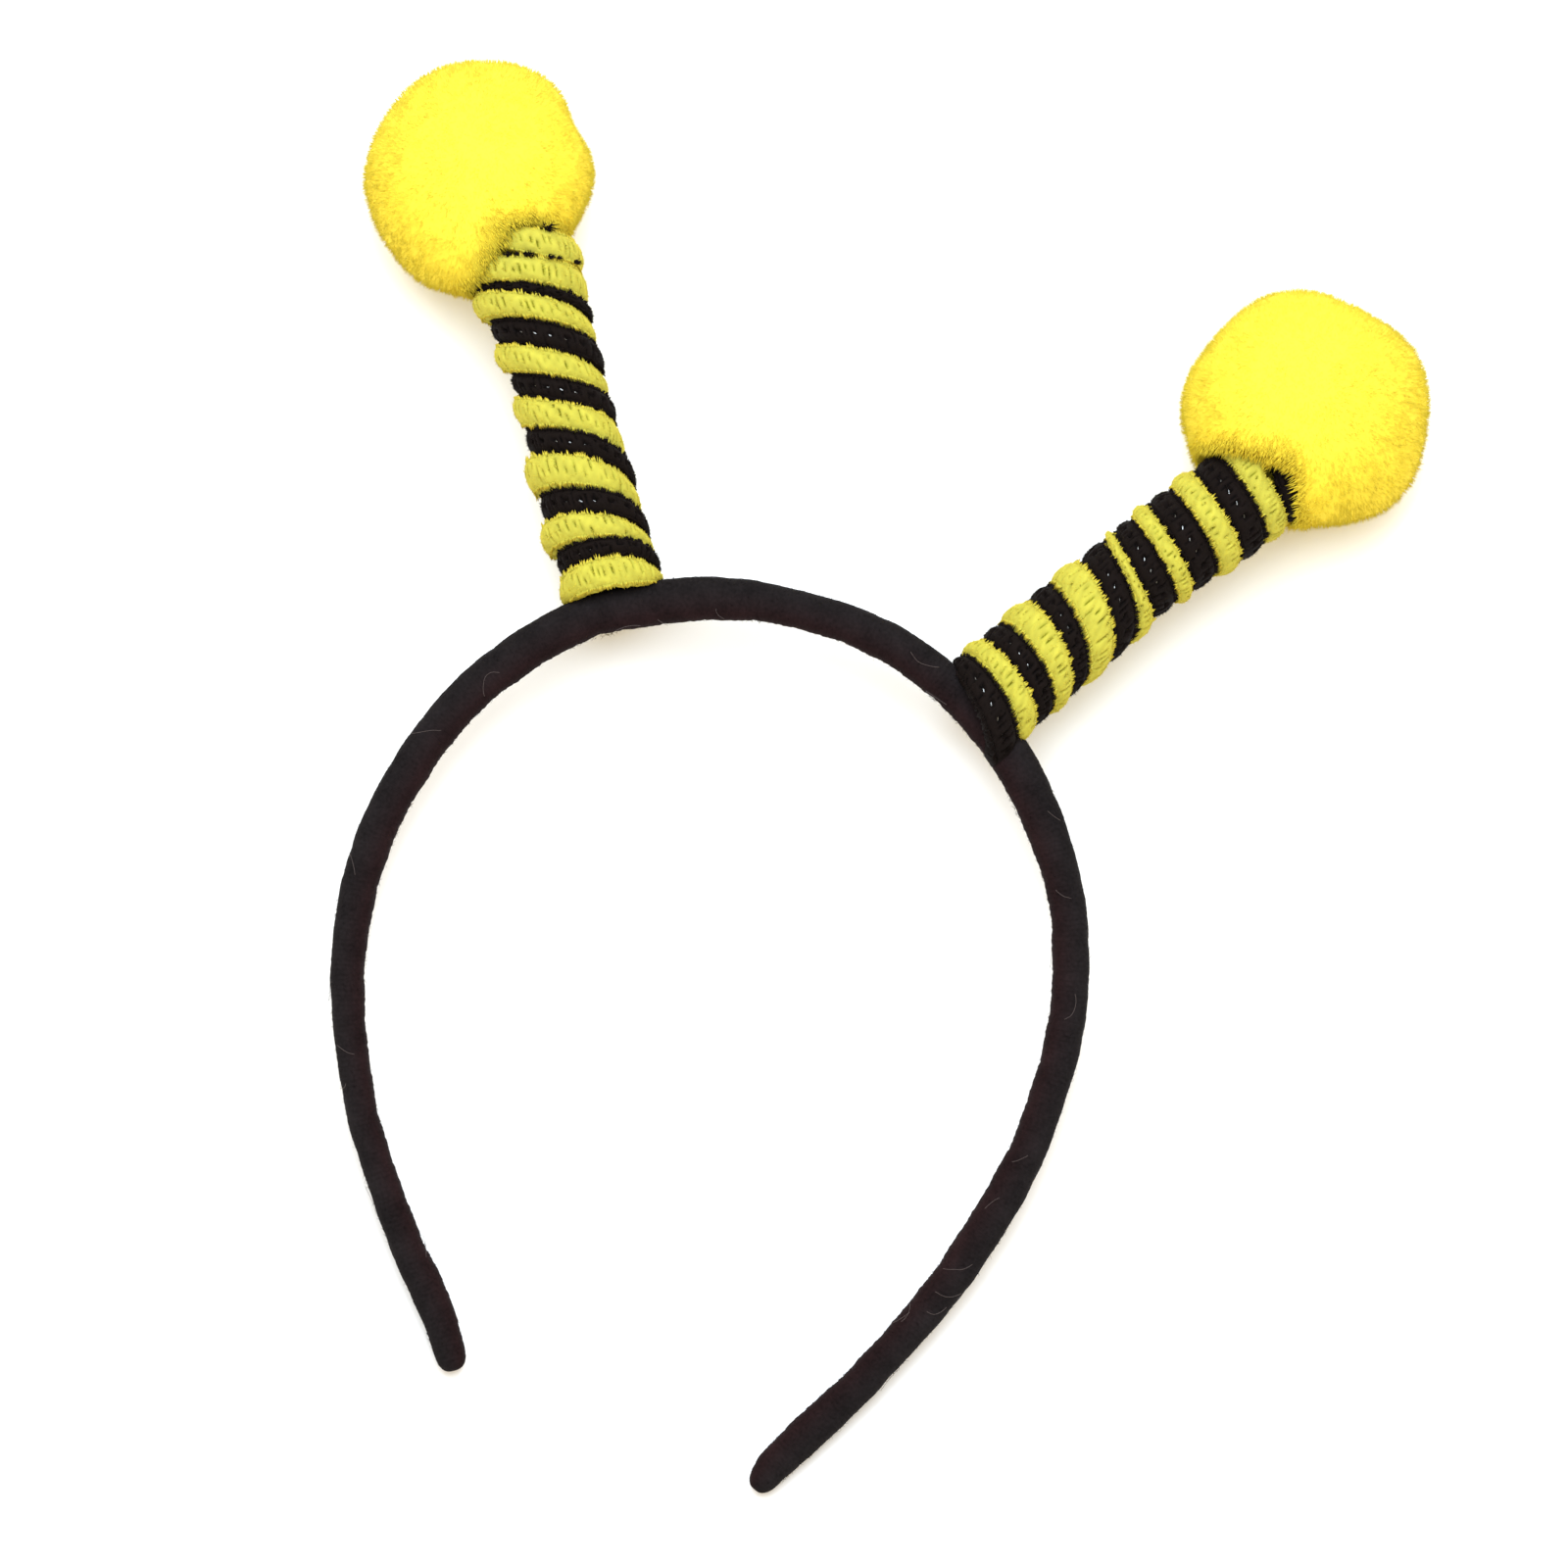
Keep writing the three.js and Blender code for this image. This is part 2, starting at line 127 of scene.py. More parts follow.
# foot: where the coil's axis meets the band. lean: degrees clockwise from +Y. sway: how far black stands out
# to the right and yellow to the left. black, yellow and wires give the first and last turn of each stem and
# of the black stem's wires, counted in rows of turns. along and aside place the pompom's middle; reach is its
# mean radius; parting is how far along the axis its fluff is parted over the coil; its last value is how much
# painted shade darkens the fluff there.
ANTENNAE = {
    "left": {
        "foot": np.array([-31.5, 60.5]),
        "lean": math.radians(-27.6),
        "sway": 0.45,
        "turns": np.array(
            [
                (-13.0, -7.8, 9.0, 0.0, -1.0, -0.8),
                (-3.6, 1.4, 9.0, 0.0, -1.0, -0.8),
                (7.6, 11.1, 9.0, -0.6, -1.0, 4.0),
                (15.8, 20.4, 9.3, -1.3, 0.8, 4.4),
                (26.5, 30.8, 9.2, -1.4, 1.9, 3.8),
                (35.9, 40.5, 8.5, -1.4, 1.9, 1.4),
                (45.8, 51.2, 9.0, -1.9, 2.2, 1.9),
                (56.2, 58.0, 9.9, -2.7, 2.6, 2.3),
                (62.5, 63.2, 10.6, -2.2, 2.2, 1.6),
                (67.5, 69.0, 10.0, -2.2, 2.0, 1.4),
                (75.0, 79.0, 9.0, -2.2, 2.0, 1.4),
            ],
            dtype=TURN_COLUMNS,
        ),
        "black": (1.5, 7.62),
        "yellow": (0.62, 8.1),
        "wires": (1.62, 7.5),
        "strays": np.array(
            [(7.84, 1.0), (7.9, 0.7), (7.925, 1.2), (7.985, 1.9), (8.015, 0.7), (8.04, 1.4), (8.905, 2.2)],
            dtype=STRAY_COLUMNS,
        ),
        "pompom": {"along": 78.4, "aside": -6.5, "reach": 20.7, "parting": 67.3, "painted_shade": 0.5},
        "lumps": np.array(
            [
                (18, 0, 18, 0.2),
                (43, 0, 10, -1.9),
                (77, 0, 18, 1.3),
                (124, 0, 18, 1.1),
                (194, 0, 18, 0.5),
                (262, 0, 18, 1.2),
                (285, 0, 18, -1.2),
                (345, 0, 18, -1.8),
                (288, 38, 18, 3.8),
            ],
            dtype=LUMP_COLUMNS,
        ),
    },
    "right": {
        "foot": np.array([37.8, 58.8]),
        "lean": math.radians(37.9),
        "sway": 0.0,
        "turns": np.array(
            [
                (-13.0, -7.4, 9.6, 0.4, 0.8, 2.0),
                (-3.6, 2.4, 10.4, 0.9, 0.8, 2.0),
                (6.7, 11.3, 9.6, -0.4, -1.2, 3.3),
                (16.7, 20.7, 9.6, -0.8, 0.0, 4.2),
                (27.0, 31.8, 9.5, -1.0, 1.4, 3.5),
                (33.7, 39.1, 8.9, -1.5, 0.2, 0.4),
                (42.5, 48.2, 9.3, -1.4, -0.6, 1.2),
                (53.0, 58.7, 9.8, -0.8, -1.0, 1.6),
                (63.0, 67.8, 9.4, -0.7, -1.0, 1.2),
                (72.5, 77.0, 9.0, -0.7, -1.0, 1.0),
            ],
            dtype=TURN_COLUMNS,
        ),
        "black": (0.72, 8.02),
        "yellow": (0.7, 7.4),
        "wires": (0.88, 7.8),
        "strays": np.array([(8.05, 0.9), (8.09, 0.7)], dtype=STRAY_COLUMNS),
        "pompom": {"along": 76.3, "aside": -6.4, "reach": 21.7, "parting": 66.0, "painted_shade": 0.25},
        "lumps": np.array(
            [
                (5, 0, 18, 0.6),
                (40, 0, 18, 1.2),
                (74, 0, 18, -1.4),
                (155, 0, 18, -1.2),
                (195, 0, 18, 0.6),
                (284, 0, 18, -0.6),
                (329, 0, 18, 2.3),
                (246, 48, 18, 1.2),
                (280, 32, 18, 1.5),
            ],
            dtype=LUMP_COLUMNS,
        ),
    },
}
STEM = 4.8  # across a chenille stem, pile included, measured out from the coil's axis
STEM_GAP = 0.1  # between one stripe's pile and the next
STEM_SQUARENESS = 2.3  # exponent of the section's superellipse, as for the band
PROUD = {"black": -0.2, "yellow": 0.3}  # a stem's outer side stands this far out from the coil's reach
STEM_END = 0.12  # of a turn, over which an end rounds off
TAKE_OVER = 0.08  # of a turn, over which yellow spreads into the room that black leaves where it ends
END_SHARE = 0.35  # of the section, left at the very end
UPPER_SIDE = 0.25  # of a turn from a coil's right side, where the stripes' heights are given
SOCKET_ROUND = 1.6  # a coil's end is rounded off by about this much
PARTING_MIDDLE = 1.5  # how far to the right of the axis the parting is highest
PARTING_BEND = 0.2  # how far it comes down a millimetre to either side
PARTING_POWER = 1.5  # with which power of the distance it comes down
PARTING_SLOPE = 0.4  # how far it goes on along the axis for each millimetre above the coil
LIP_WIDTH = 4.5  # over this length the fluff darkens with painted shade and leans towards the lip of the parting
LIP_TURN = 6.0  # this far to either side of the axis the lip's fluff leans as much inwards as down
END_STEPS = 720  # turns about the axis at which a coil's end is worked out

# Slits across the outer side of a stem's pile. every: rings from one slit to the next, the second number left
# out. about: how far off the outer side, and long: half its length, both as angles in the section. deep: as a
# share of the section.
SLIT = {"every": (3, 6), "about": 0.3, "long": (0.15, 0.55), "deep": (0.1, 0.5)}
# Openings in the black pile over the crests of its wires: how deep, and half their length and width.
OPENING = {"deep": 0.6, "long": 0.42, "wide": 0.3}
# Shine across the pile's ends, and how much the tones of its fibres differ.
PILE = {"black": {"sheen": 0.03, "uneven": 0.3}, "yellow": {"sheen": 0.4, "uneven": 0.26}}
FLUFF = {"sheen": 0.35, "uneven": 0.06}
FIBRE_WIDTHS = (0.7, 1.3)  # of the mean width, between which a fibre's is drawn
PILE_TONES = (0.2, 0.9)  # between which the tone of a stem's fibre is drawn

FLOOR_CLEAR = 0.02  # nothing lies lower than this above the floor
MAP_EDGE = 0.02  # places on the colour map stay this far inside it
MAP_STEP = 0.01  # between places on it that would fall together
WAVE_UNIT = 20  # radians that a wave texture goes through in one unit of its scale
# Numbers of a piece's materials: its own cloth or pile, and the lint or wire in it.
OWN, ADDED = 0, 1
# First seeds of the pieces' random draws.
SEEDS = {"band": 11, "chenille": 101, "pompoms": 200}

# The four corners of a spike are three round its root and one at its tip.
SPIKE_FACES = np.array([(0, 1, 3), (1, 2, 3), (2, 0, 3), (0, 2, 1)])

# The photograph's frame: its middle and width in the loop's plane, and how far the camera is rolled.
VIEW_MIDDLE = (5.43, 34.8)
VIEW_WIDTH = 280.7
VIEW_ROLL = math.radians(14)
SENSOR = 36.0
NEAR_CLIP = 0.02  # of the camera's distance, where its view begins

# The stage, in metres in the part's frame: half the floor's width, and where the large lamp hangs, what it is
# turned to, how wide it is and its colour.
FLOOR_HALF = 3.0
KEY_PLACE = (-0.15, 0.35, 1.6)
KEY_AIM = (0.0, 0.03, 0.0)
KEY_SIZE = 1.2
KEY_COLOUR = (0.72, 0.85, 1.0)


def linear(colour):
    """An sRGB hex colour such as #2a2224 as linear red, green, blue and an alpha of 1."""
    levels = np.array([int(colour[k : k + 2], 16) / 255 for k in (1, 3, 5)])
    low = levels / 12.92
    high = ((levels + 0.055) / 1.055) ** 2.4
    return (*np.where(levels <= 0.04045, low, high).tolist(), 1.0)


def colour_setting(name, description, colour):
    """A colour that the sidebar shows, with its default given in sRGB hex."""
    return FloatVectorProperty(
        name=name, description=description, subtype="COLOR", size=4, min=0, max=1, default=linear(colour)
    )


def length_setting(name, description, millimetres):
    """A length that the sidebar shows, with its default given in millimetres."""
    return FloatProperty(
        name=name, description=description, unit="LENGTH", min=0, precision=5, default=millimetres * MM
    )


def count_setting(name, description, count):
    """A number of things that the sidebar shows."""
    return IntProperty(name=name, description=description, min=1, default=count)


class BandLook(bpy.types.PropertyGroup):
    """Sizes and colours of the cloth-covered band."""

    gather: length_setting("Gather", "How far the cloth's cross gathers stand out", 0.045)
    rib: length_setting("Rib", "Spacing of the knit's ribs across the band", 0.9)
    fuzz: length_setting("Fuzz", "Length of the loose fibres on the cloth", 0.8)
    fuzz_count: count_setting("Fuzz fibres", "Loose fibres on the cloth", 7000)
    # The inner side's warmer, redder colour is painted warm light on the loop's inside.
    outer: colour_setting("Outer side", "Cloth on the outside of the loop", "#181516")
    inner: colour_setting("Inner side", "Cloth on the inside of the loop", "#1c1011")
    lint: colour_setting("Lint", "Pale hairs that cling to the cloth", "#564b49")


class ChenilleLook(bpy.types.PropertyGroup):
    """Sizes and colours of the four chenille stems."""

    fibres: count_setting("Fibres", "Loose fibres on one stem", 12000)
    fibre: length_setting("Fibre", "Width of a loose fibre at its root", 0.18)
    fringe: count_setting("Fringe", "Tufts along the edges of one stem", 4200)
    tuft: length_setting("Tuft", "Width of an edge tuft at its root", 0.5)
    wire: length_setting("Wire", "Diameter of one core wire", 0.42)
    twist: length_setting("Twist", "Length in which the core wires turn once", 4.5)
    # From root to tip: the darker roots are painted shade deep in the pile, the lighter, warmer tips painted
    # light.
    black_root: colour_setting("Black root", "Black pile close to the wire", "#070504")
    black_body: colour_setting("Black body", "Black pile seen from above", "#100907")
    black_tip: colour_setting("Black tip", "Ends of the black pile", "#160c09")
    yellow_root: colour_setting("Yellow root", "Yellow pile close to the wire", "#7d7a14")
    yellow_body: colour_setting("Yellow body", "Yellow pile seen from above", "#b4ae42")
    yellow_tip: colour_setting("Yellow tip", "Ends of the yellow pile", "#eed344")
    steel: colour_setting("Steel", "The twisted core wires", "#9d9c98")


class PompomLook(bpy.types.PropertyGroup):
    """Sizes and colours of the two pompoms."""

    fibres: count_setting("Fibres", "Loose fibres on one pompom", 34000)
    fibre: length_setting("Fibre", "Width of a loose fibre at its root", 0.28)
    fluff: length_setting("Fluff", "Depth of the loose fibres", 1.5)
    # The root colour is the painted shade that the fluff takes on near the lip of the parting.
    root: colour_setting("Root", "Fluff on the lip of the parting", "#ac9d2c")
    body: colour_setting("Body", "Fluff seen from above", "#e9d03c")
    tip: colour_setting("Tip", "Ends of the fluff", "#ebd53f")


class StageLook(bpy.types.PropertyGroup):
    """The floor, the light and the camera."""

    floor: colour_setting("Floor", "The pale floor", "#f4f4f4")
    sky: FloatProperty(name="Sky", description="Strength of the light from all sides", default=1.0, min=0)
    glow: colour_setting("Glow", "Colour of the light from all sides", "#ffeed2")
    key: FloatProperty(name="Key", description="Power of the large lamp", subtype="POWER", default=46, min=0)
    distance: length_setting("Distance", "From the camera to the loop's plane", 2000)


def spline(rows, at):
    """Centripetal Catmull-Rom curve through a table's rows, at parameters counted in rows.

    Between two rows it is a cubic; its end slopes blend the steps on either side, each weighed by the square
    root of its length. Past either end the last step is repeated.
    """
    rows = np.vstack([2 * rows[0] - rows[1], rows, 2 * rows[-1] - rows[-2]])
    start = np.clip(np.floor(at).astype(int), 0, len(rows) - 4)
    share = (at - start)[:, None]
    before, here, there, after = (rows[start + k] for k in range(4))
    steps = ((before, here), (here, there), (there, after))
    d0, d1, d2 = (np.sqrt(np.linalg.norm(b - a, axis=1))[:, None] for a, b in steps)
    leave = d1 * ((here - before) / d0 - (there - before) / (d0 + d1) + (there - here) / d1)
    arrive = d1 * ((there - here) / d1 - (after - here) / (d1 + d2) + (after - there) / d2)
    bend = 3 * (there - here) - 2 * leave - arrive
    flex = 2 * (here - there) + leave + arrive
    return here + share * (leave + share * (bend + share * flex))


def eased(turns, name, height):
    """One column of a coil's turns at heights along its axis, eased from turn to turn by a smooth step."""
    knots, values = turns["black"], turns[name]
    k = np.clip(np.searchsorted(knots, height) - 1, 0, len(knots) - 2)
    share = np.clip((height - knots[k]) / (knots[k + 1] - knots[k]), 0, 1)
    share = share * share * (3 - 2 * share)
    return values[k] + share * (values[k + 1] - values[k])


def signed_power(value, power):
    """A power that keeps its sign, for superellipses."""
    return np.sign(value) * np.abs(value) ** power


def unit(vectors):
    """Vectors scaled to length 1."""
    return vectors / np.linalg.norm(vectors, axis=-1, keepdims=True)


def ripples(places, waves, rng):
    """Smooth irregular waviness, about -1 to 1: a sum of sines across the places in random directions.

    waves gives the wavelength of each sine along each axis of the places.
    """
    total = np.zeros(places.shape[:-1])
    uneven = (0.75, 1.25)
    for wavelength in waves:
        direction = rng.choice([-1.0, 1.0], len(wavelength)) * rng.uniform(*uneven, len(wavelength))
        phase = (places * direction / np.array(wavelength)).sum(-1) * FULL_TURN
        total += np.sin(phase + rng.uniform(0, FULL_TURN))
    return total / math.sqrt(len(waves))


def bumps(points, sizes, rng):
    """Soft bumps with no grain, about -1 to 1: a sum of sines of random directions through space.

    sizes gives the shortest and the longest wavelength.
    """
    waves = 40
    across = unit(rng.normal(0, 1, (waves, 3))) / rng.uniform(*sizes, (waves, 1))
    phase = (points @ across.T + rng.uniform(0, 1, waves)) * FULL_TURN
    return np.sin(phase).sum(-1) / math.sqrt(waves)


class BandPath:
    """The band's middle line, measured once so that places on it can be asked for by length."""

    def __init__(self):
        turn = np.radians(BAND["turn"])
        middle = np.stack([BAND["reach"] * np.sin(turn), BAND["reach"] * np.cos(turn)], 1)
        rows = np.linspace(0, len(BAND) - 1, PATH_STEPS)
        self.centres = spline(middle, rows)
        self.ahead = unit(np.gradient(self.centres, axis=0))
        self.sizes = spline(np.stack([BAND["thick"], BAND["wide"]], 1), rows)
        steps = np.linalg.norm(np.diff(self.centres, axis=0), axis=1)
        self.lengths = np.concatenate([[0], np.cumsum(steps)])
        self.length = self.lengths[-1]
        self.turns = np.degrees(np.arctan2(self.centres[:, 0], self.centres[:, 1]))

    def read(self, table, along):
        """A table of the path's own points, read at lengths along it."""
        columns = [np.interp(along, self.lengths, column) for column in table.T]
        return np.stack(columns, -1)

    def section(self, along):
        """Centre, outward direction, thickness and width at lengths along the band, tips rounded off."""
        centre = self.read(self.centres, along)
        ahead = unit(self.read(self.ahead, along))
        outward = np.stack([-ahead[..., 1], ahead[..., 0]], -1)
        thick, wide = np.moveaxis(self.read(self.sizes, along), -1, 0)
        from_tip = np.clip(np.minimum(along, self.length - along) / TIP_LENGTH, 0, 1)
        rounding = (1 - (1 - from_tip) ** TIP_SQUARENESS) ** (1 / TIP_SQUARENESS)
        return centre, outward, thick * rounding, wide * rounding

    def surface(self, along, around, proud=0.0):
        """Points of the band: a superellipse at each length along it, with some cloth standing proud.

        around is the angle in the section, 0 on the loop's outside and a quarter turn on its upper side.
        """
        centre, outward, thick, wide = self.section(along)
        out = signed_power(np.cos(around), 2 / BAND_SQUARENESS)
        up = signed_power(np.sin(around), 2 / BAND_SQUARENESS)
        across = out * thick / 2 + proud * np.cos(around)
        points = centre + outward * across[..., None]
        return np.concatenate([points, (up * wide / 2 + proud * np.sin(around))[..., None]], -1)

    def pushed_out(self, points, clear):
        """Points that lie inside the band, or nearer to it than clear, moved straight out of its section."""
        chunk, stride, least = 500, 4, 0.05
        nearest = np.empty(len(points), int)
        for part in np.array_split(np.arange(len(points)), len(points) // chunk + 1):
            apart = points[part, None, :2] - self.centres[None, ::stride]
            nearest[part] = stride * (apart**2).sum(-1).argmin(1)
        centre, outward, thick, wide = self.section(self.lengths[nearest])
        across = ((points[:, :2] - centre) * outward).sum(1)
        half = np.stack([thick, wide], 1) / 2 + clear
        parts = np.abs(np.stack([across, points[:, 2]], 1)) / half
        level = (parts**BAND_SQUARENESS).sum(1) ** (1 / BAND_SQUARENESS)
        inside = level < 1
        grow = np.where(inside, 1 / np.maximum(level, least), 1)
        moved = points.copy()
        moved[:, :2] += outward * (across * (grow - 1))[:, None]
        moved[:, 2] *= grow
        return moved, inside


BAND_PATH = BandPath()


def loop_middle():
    """The loop's middle in the part's frame: where the leaning band's box lies as its node's box does."""
    sides = 72
    along = np.linspace(0, BAND_PATH.length, PATH_STEPS)[:, None]
    around = np.linspace(0, FULL_TURN, sides)[None, :]
    points = BAND_PATH.surface(*np.broadcast_arrays(along, around)).reshape(-1, 3) @ LEAN.T
    low, high = (np.array(corner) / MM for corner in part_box("band"))
    middle = (low + high) / 2 - (points.min(0) + points.max(0)) / 2
    middle[2] = low[2] - points[:, 2].min()
    return middle


LOOP_MIDDLE = loop_middle()


def to_frame(points):
    """Millimetres about the loop's middle, in its plane, to metres in the part's frame."""
    return (points @ LEAN.T + LOOP_MIDDLE) * MM


def coil_shape(antenna, height):
    """A coil's reach, aside, tilt and nod at heights along its axis."""
    return [eased(antenna["turns"], name, height) for name in ("reach", "aside", "tilt", "nod")]


def directions(antenna):
    """An antenna's own directions in the loop's plane: along its axis and to the right of it."""
    sin, cos = math.sin(antenna["lean"]), math.cos(antenna["lean"])
    return np.array([sin, cos]), np.array([cos, -sin])


def antenna_points(antenna, height, distance, turn):
    """Places given by height along an antenna, distance from its axis and turn about it."""
    reach, aside, tilt, nod = coil_shape(antenna, height)
    right = distance / reach * np.cos(turn)
    up = distance / reach * np.sin(turn)
    along = height - tilt * right - nod * (1 - up)
    across = aside + distance * np.cos(turn)
    ahead, beside = directions(antenna)
    flat = antenna["foot"] + along[:, None] * ahead + across[:, None] * beside
    return np.concatenate([flat, (distance * np.sin(turn))[:, None]], 1)


def turn_at(row):
    """The turn about a coil's axis at parts of rows, counted from its right side."""
    return (row + UPPER_SIDE) * FULL_TURN


def stripe(antenna, colour, row):
    """A stem's section at parts of rows: its middle height, half its height, its outer radius and its share.

    Where the black stem has ended, the yellow turns on either side share its room.
    """
    table = np.stack([antenna["turns"]["black"], antenna["turns"]["yellow"]], 1)
    low, high = spline(table, row).T
    if colour == "yellow":
        black, yellow = spline(table, row + 1).T
        ended = antenna["black"][1]
        below = np.clip((row - ended) / TAKE_OVER, 0, 1) / 2
        above = np.clip((row + 1 - ended) / TAKE_OVER, 0, 1) / 2
        low, high = high - below * (high - low), black + above * (yellow - black)
    first, last = antenna[colour]
    from_end = np.clip(np.minimum(row - first, last - row) / STEM_END, 0, 1)
    share = END_SHARE + (1 - END_SHARE) * from_end
    middle = (low + high) / 2
    sway = antenna["sway"] * np.cos(turn_at(row))
    proud = PROUD[colour] + (sway if colour == "black" else -sway)
    outer = eased(antenna["turns"], "reach", middle) + proud
    return middle, (high - low - STEM_GAP) / 2, outer, share


def stem_points(antenna, colour, row, angle, spread):
    """Points of a stem: at a part of a row, an angle in its section and a share of the way to its outline.

    Angle 0 is straight out from the coil's axis and a quarter turn is up along it.
    """
    middle, half, outer, share = stripe(antenna, colour, row)
    up = signed_power(np.sin(angle), 2 / STEM_SQUARENESS)
    out = signed_power(np.cos(angle), 2 / STEM_SQUARENESS)
    height = middle + half * spread * share * up
    distance = outer - STEM / 2 * (1 - spread * share * out)
    return antenna_points(antenna, height, distance, turn_at(row))


def tube(rings):
    """Faces and points of closed rings, shape (rings, points, 3), joined in a row with a pole at each end."""
    count, sides = rings.shape[:2]
    poles = np.stack([rings[0].mean(0), rings[-1].mean(0)])
    points = np.concatenate([rings.reshape(-1, 3), poles])
    k = np.arange(sides)
    across = np.stack([k, np.roll(k, -1)], 1)
    start = (np.arange(count - 1) * sides)[:, None, None]
    lower = start + across[None]
    quads = np.concatenate([lower, lower[..., ::-1] + sides], -1).reshape(-1, 4)
    first = np.stack([across[:, 1], across[:, 0], np.full(sides, count * sides)], 1)
    last_ring = (count - 1) * sides + across
    last = np.concatenate([last_ring, np.full((sides, 1), count * sides + 1)], 1)
    return points, [quads, np.concatenate([first, last])]


def outward(points, faces):
    """Faces turned so that the closed shape has a positive volume."""
    corners = points[faces[0]]
    volume = np.einsum("ij,ij->i", corners[:, 0], np.cross(corners[:, 1], corners[:, 2])).sum()
    return faces if volume > 0 else [group[:, ::-1] for group in faces]


def tube_part(rings, places, number=OWN):
    """A tube as a part of a piece, with its faces turned outwards."""
    points, faces = tube(rings)
    return to_frame(points), outward(points, faces), places, number


def rod_part(path, radius, sides, beside):
    """A round rod along a path, as a part: rings square to the path, each begun at right angles to beside."""
    ahead = unit(np.gradient(path, axis=0))
    side = unit(np.cross(ahead, beside))
    other = np.cross(ahead, side)
    angle = (np.arange(sides) / sides * FULL_TURN)[None, :, None]
    ring = np.cos(angle) * side[:, None] + np.sin(angle) * other[:, None]
    poles = 2
    return tube_part(path[:, None] + radius * ring, np.full((len(path) * sides + poles, 2), 0.5), ADDED)


def spike_part(roots, tips, width, spin, places):
    """Closed spikes as a part: an even triangle round each root, square to the spike, and its tip."""
    sides, steep = 3, 0.9
    axis = unit(tips - roots)
    level = np.abs(axis[:, 2:]) < steep
    side = unit(np.cross(axis, np.where(level, (0.0, 0.0, 1.0), (1.0, 0.0, 0.0))))
    other = np.cross(axis, side)
    angle = spin[:, None] + np.arange(sides) * FULL_TURN / sides
    ring = np.cos(angle)[..., None] * side[:, None] + np.sin(angle)[..., None] * other[:, None]
    base = roots[:, None] + ring * (width / 2)[:, None, None]
    points = np.concatenate([base, tips[:, None]], 1)
    count, corners = points.shape[:2]
    faces = (np.arange(count) * corners)[:, None, None] + SPIKE_FACES
    return to_frame(points.reshape(-1, 3)), [faces.reshape(-1, 3)], places, OWN


def spike_map(tones, low=0.0, high=1.0):
    """Places of the spikes' corners on the colour map: tone across, and depth from root to tip up it."""
    slip = 0.008
    across = MAP_EDGE + (1 - 2 * MAP_EDGE) * np.clip(tones, 0, 1)[:, None] + slip * np.array([-1, 0, 1, 0])
    low, high = (np.broadcast_to(depth, tones.shape) for depth in (low, high))
    up = np.stack([low, low + MAP_STEP, low, high], -1)
    return np.stack([across, up], -1).reshape(-1, 2)


def tube_map(tone, depth):
    """Places of a tube's points on the colour map, with its poles beside its first and last point."""
    places = np.stack([tone, depth], 1)
    places = np.concatenate([places, places[:1] + MAP_STEP, places[-1:] - MAP_STEP])
    return np.clip(places, MAP_EDGE, 1 - MAP_EDGE)


def add_piece(name, node, parts, materials):
    """Joins parts into one mesh object, ties it to the frame and lets it stand for a node.

    A part is points, groups of faces, places on the colour map for each point and a material's number.
    """
    offsets = np.cumsum([0] + [len(part[0]) for part in parts[:-1]])
    corners, sizes, numbers = [], [], []
    for offset, (_, groups, _, number) in zip(offsets, parts):
        for group in groups:
            corners.append((group + offset).ravel())
            sizes.append(np.full(len(group), group.shape[1]))
            numbers.append(np.full(len(group), number))
    corners, sizes, numbers = (
        np.concatenate(values).astype(np.int32) for values in (corners, sizes, numbers)
    )
    points = np.concatenate([part[0] for part in parts]).astype(np.float32)
    points[:, 2] = np.maximum(points[:, 2], FLOOR_CLEAR * MM)
    places = np.concatenate([part[2] for part in parts]).astype(np.float32)
    mesh = bpy.data.meshes.new(name)
    mesh.vertices.add(len(points))
    mesh.vertices.foreach_set("co", points.ravel())
    mesh.loops.add(len(corners))
    mesh.loops.foreach_set("vertex_index", corners)
    mesh.polygons.add(len(sizes))
    mesh.polygons.foreach_set("loop_start", (np.cumsum(sizes) - sizes).astype(np.int32))
    mesh.polygons.foreach_set("material_index", numbers)
    mesh.polygons.foreach_set("use_smooth", np.ones(len(sizes), bool))
    mesh.update(calc_edges=True)
    layer = mesh.uv_layers.new(name=BAKE_MAP)
    layer.uv.foreach_set("vector", places[corners].ravel())
    if mesh.validate():
        raise RuntimeError(f"the mesh of {name} had to be repaired")
    for material in materials:
        mesh.materials.append(material)
    piece = bpy.data.objects.new(name, mesh)
    bpy.context.scene.collection.objects.link(piece)
    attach(piece, BODY)
    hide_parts(node)


def add_node(tree, kind, inputs=None, **settings):
    """Adds a node with its settings; inputs maps sockets to values, or to the sockets that feed them."""
    made = tree.nodes.new(kind)
    for name, value in settings.items():
        setattr(made, name, value)
    for socket, value in (inputs or {}).items():
        if isinstance(value, bpy.types.NodeSocket):
            tree.links.new(value, made.inputs[socket])
        else:
            made.inputs[socket].default_value = value
    return made


def new_material(name):
    """An empty node material and its tree."""
    material = bpy.data.materials.new(name)
    material.use_nodes = True
    material.node_tree.nodes.clear()
    return material, material.node_tree


def finish_material(tree, inputs):
    """Adds the surface's shader with its inputs and links it to the material's output."""
    shader = add_node(tree, "ShaderNodeBsdfPrincipled", inputs)
    add_node(tree, "ShaderNodeOutputMaterial", {"Surface": shader.outputs[0]})


def ranged(tree, value, to=(0.0, 1.0), given=(0.0, 1.0), kind="LINEAR"):
    """A value moved from a given range to another, straight or by a smooth step, and kept within it."""
    ends = {"From Min": given[0], "From Max": given[1], "To Min": to[0], "To Max": to[1]}
    made = add_node(tree, "ShaderNodeMapRange", {"Value": value, **ends}, interpolation_type=kind)
    return made.outputs[0]


def grain(tree, size, detail=2.0):
    """Soft noise through the object, in patches of about a size in millimetres."""
    place = add_node(tree, "ShaderNodeTexCoord")
    inputs = {"Vector": place.outputs["Object"], "Scale": 1 / (size * MM), "Detail": detail}
    return add_node(tree, "ShaderNodeTexNoise", inputs).outputs[0]


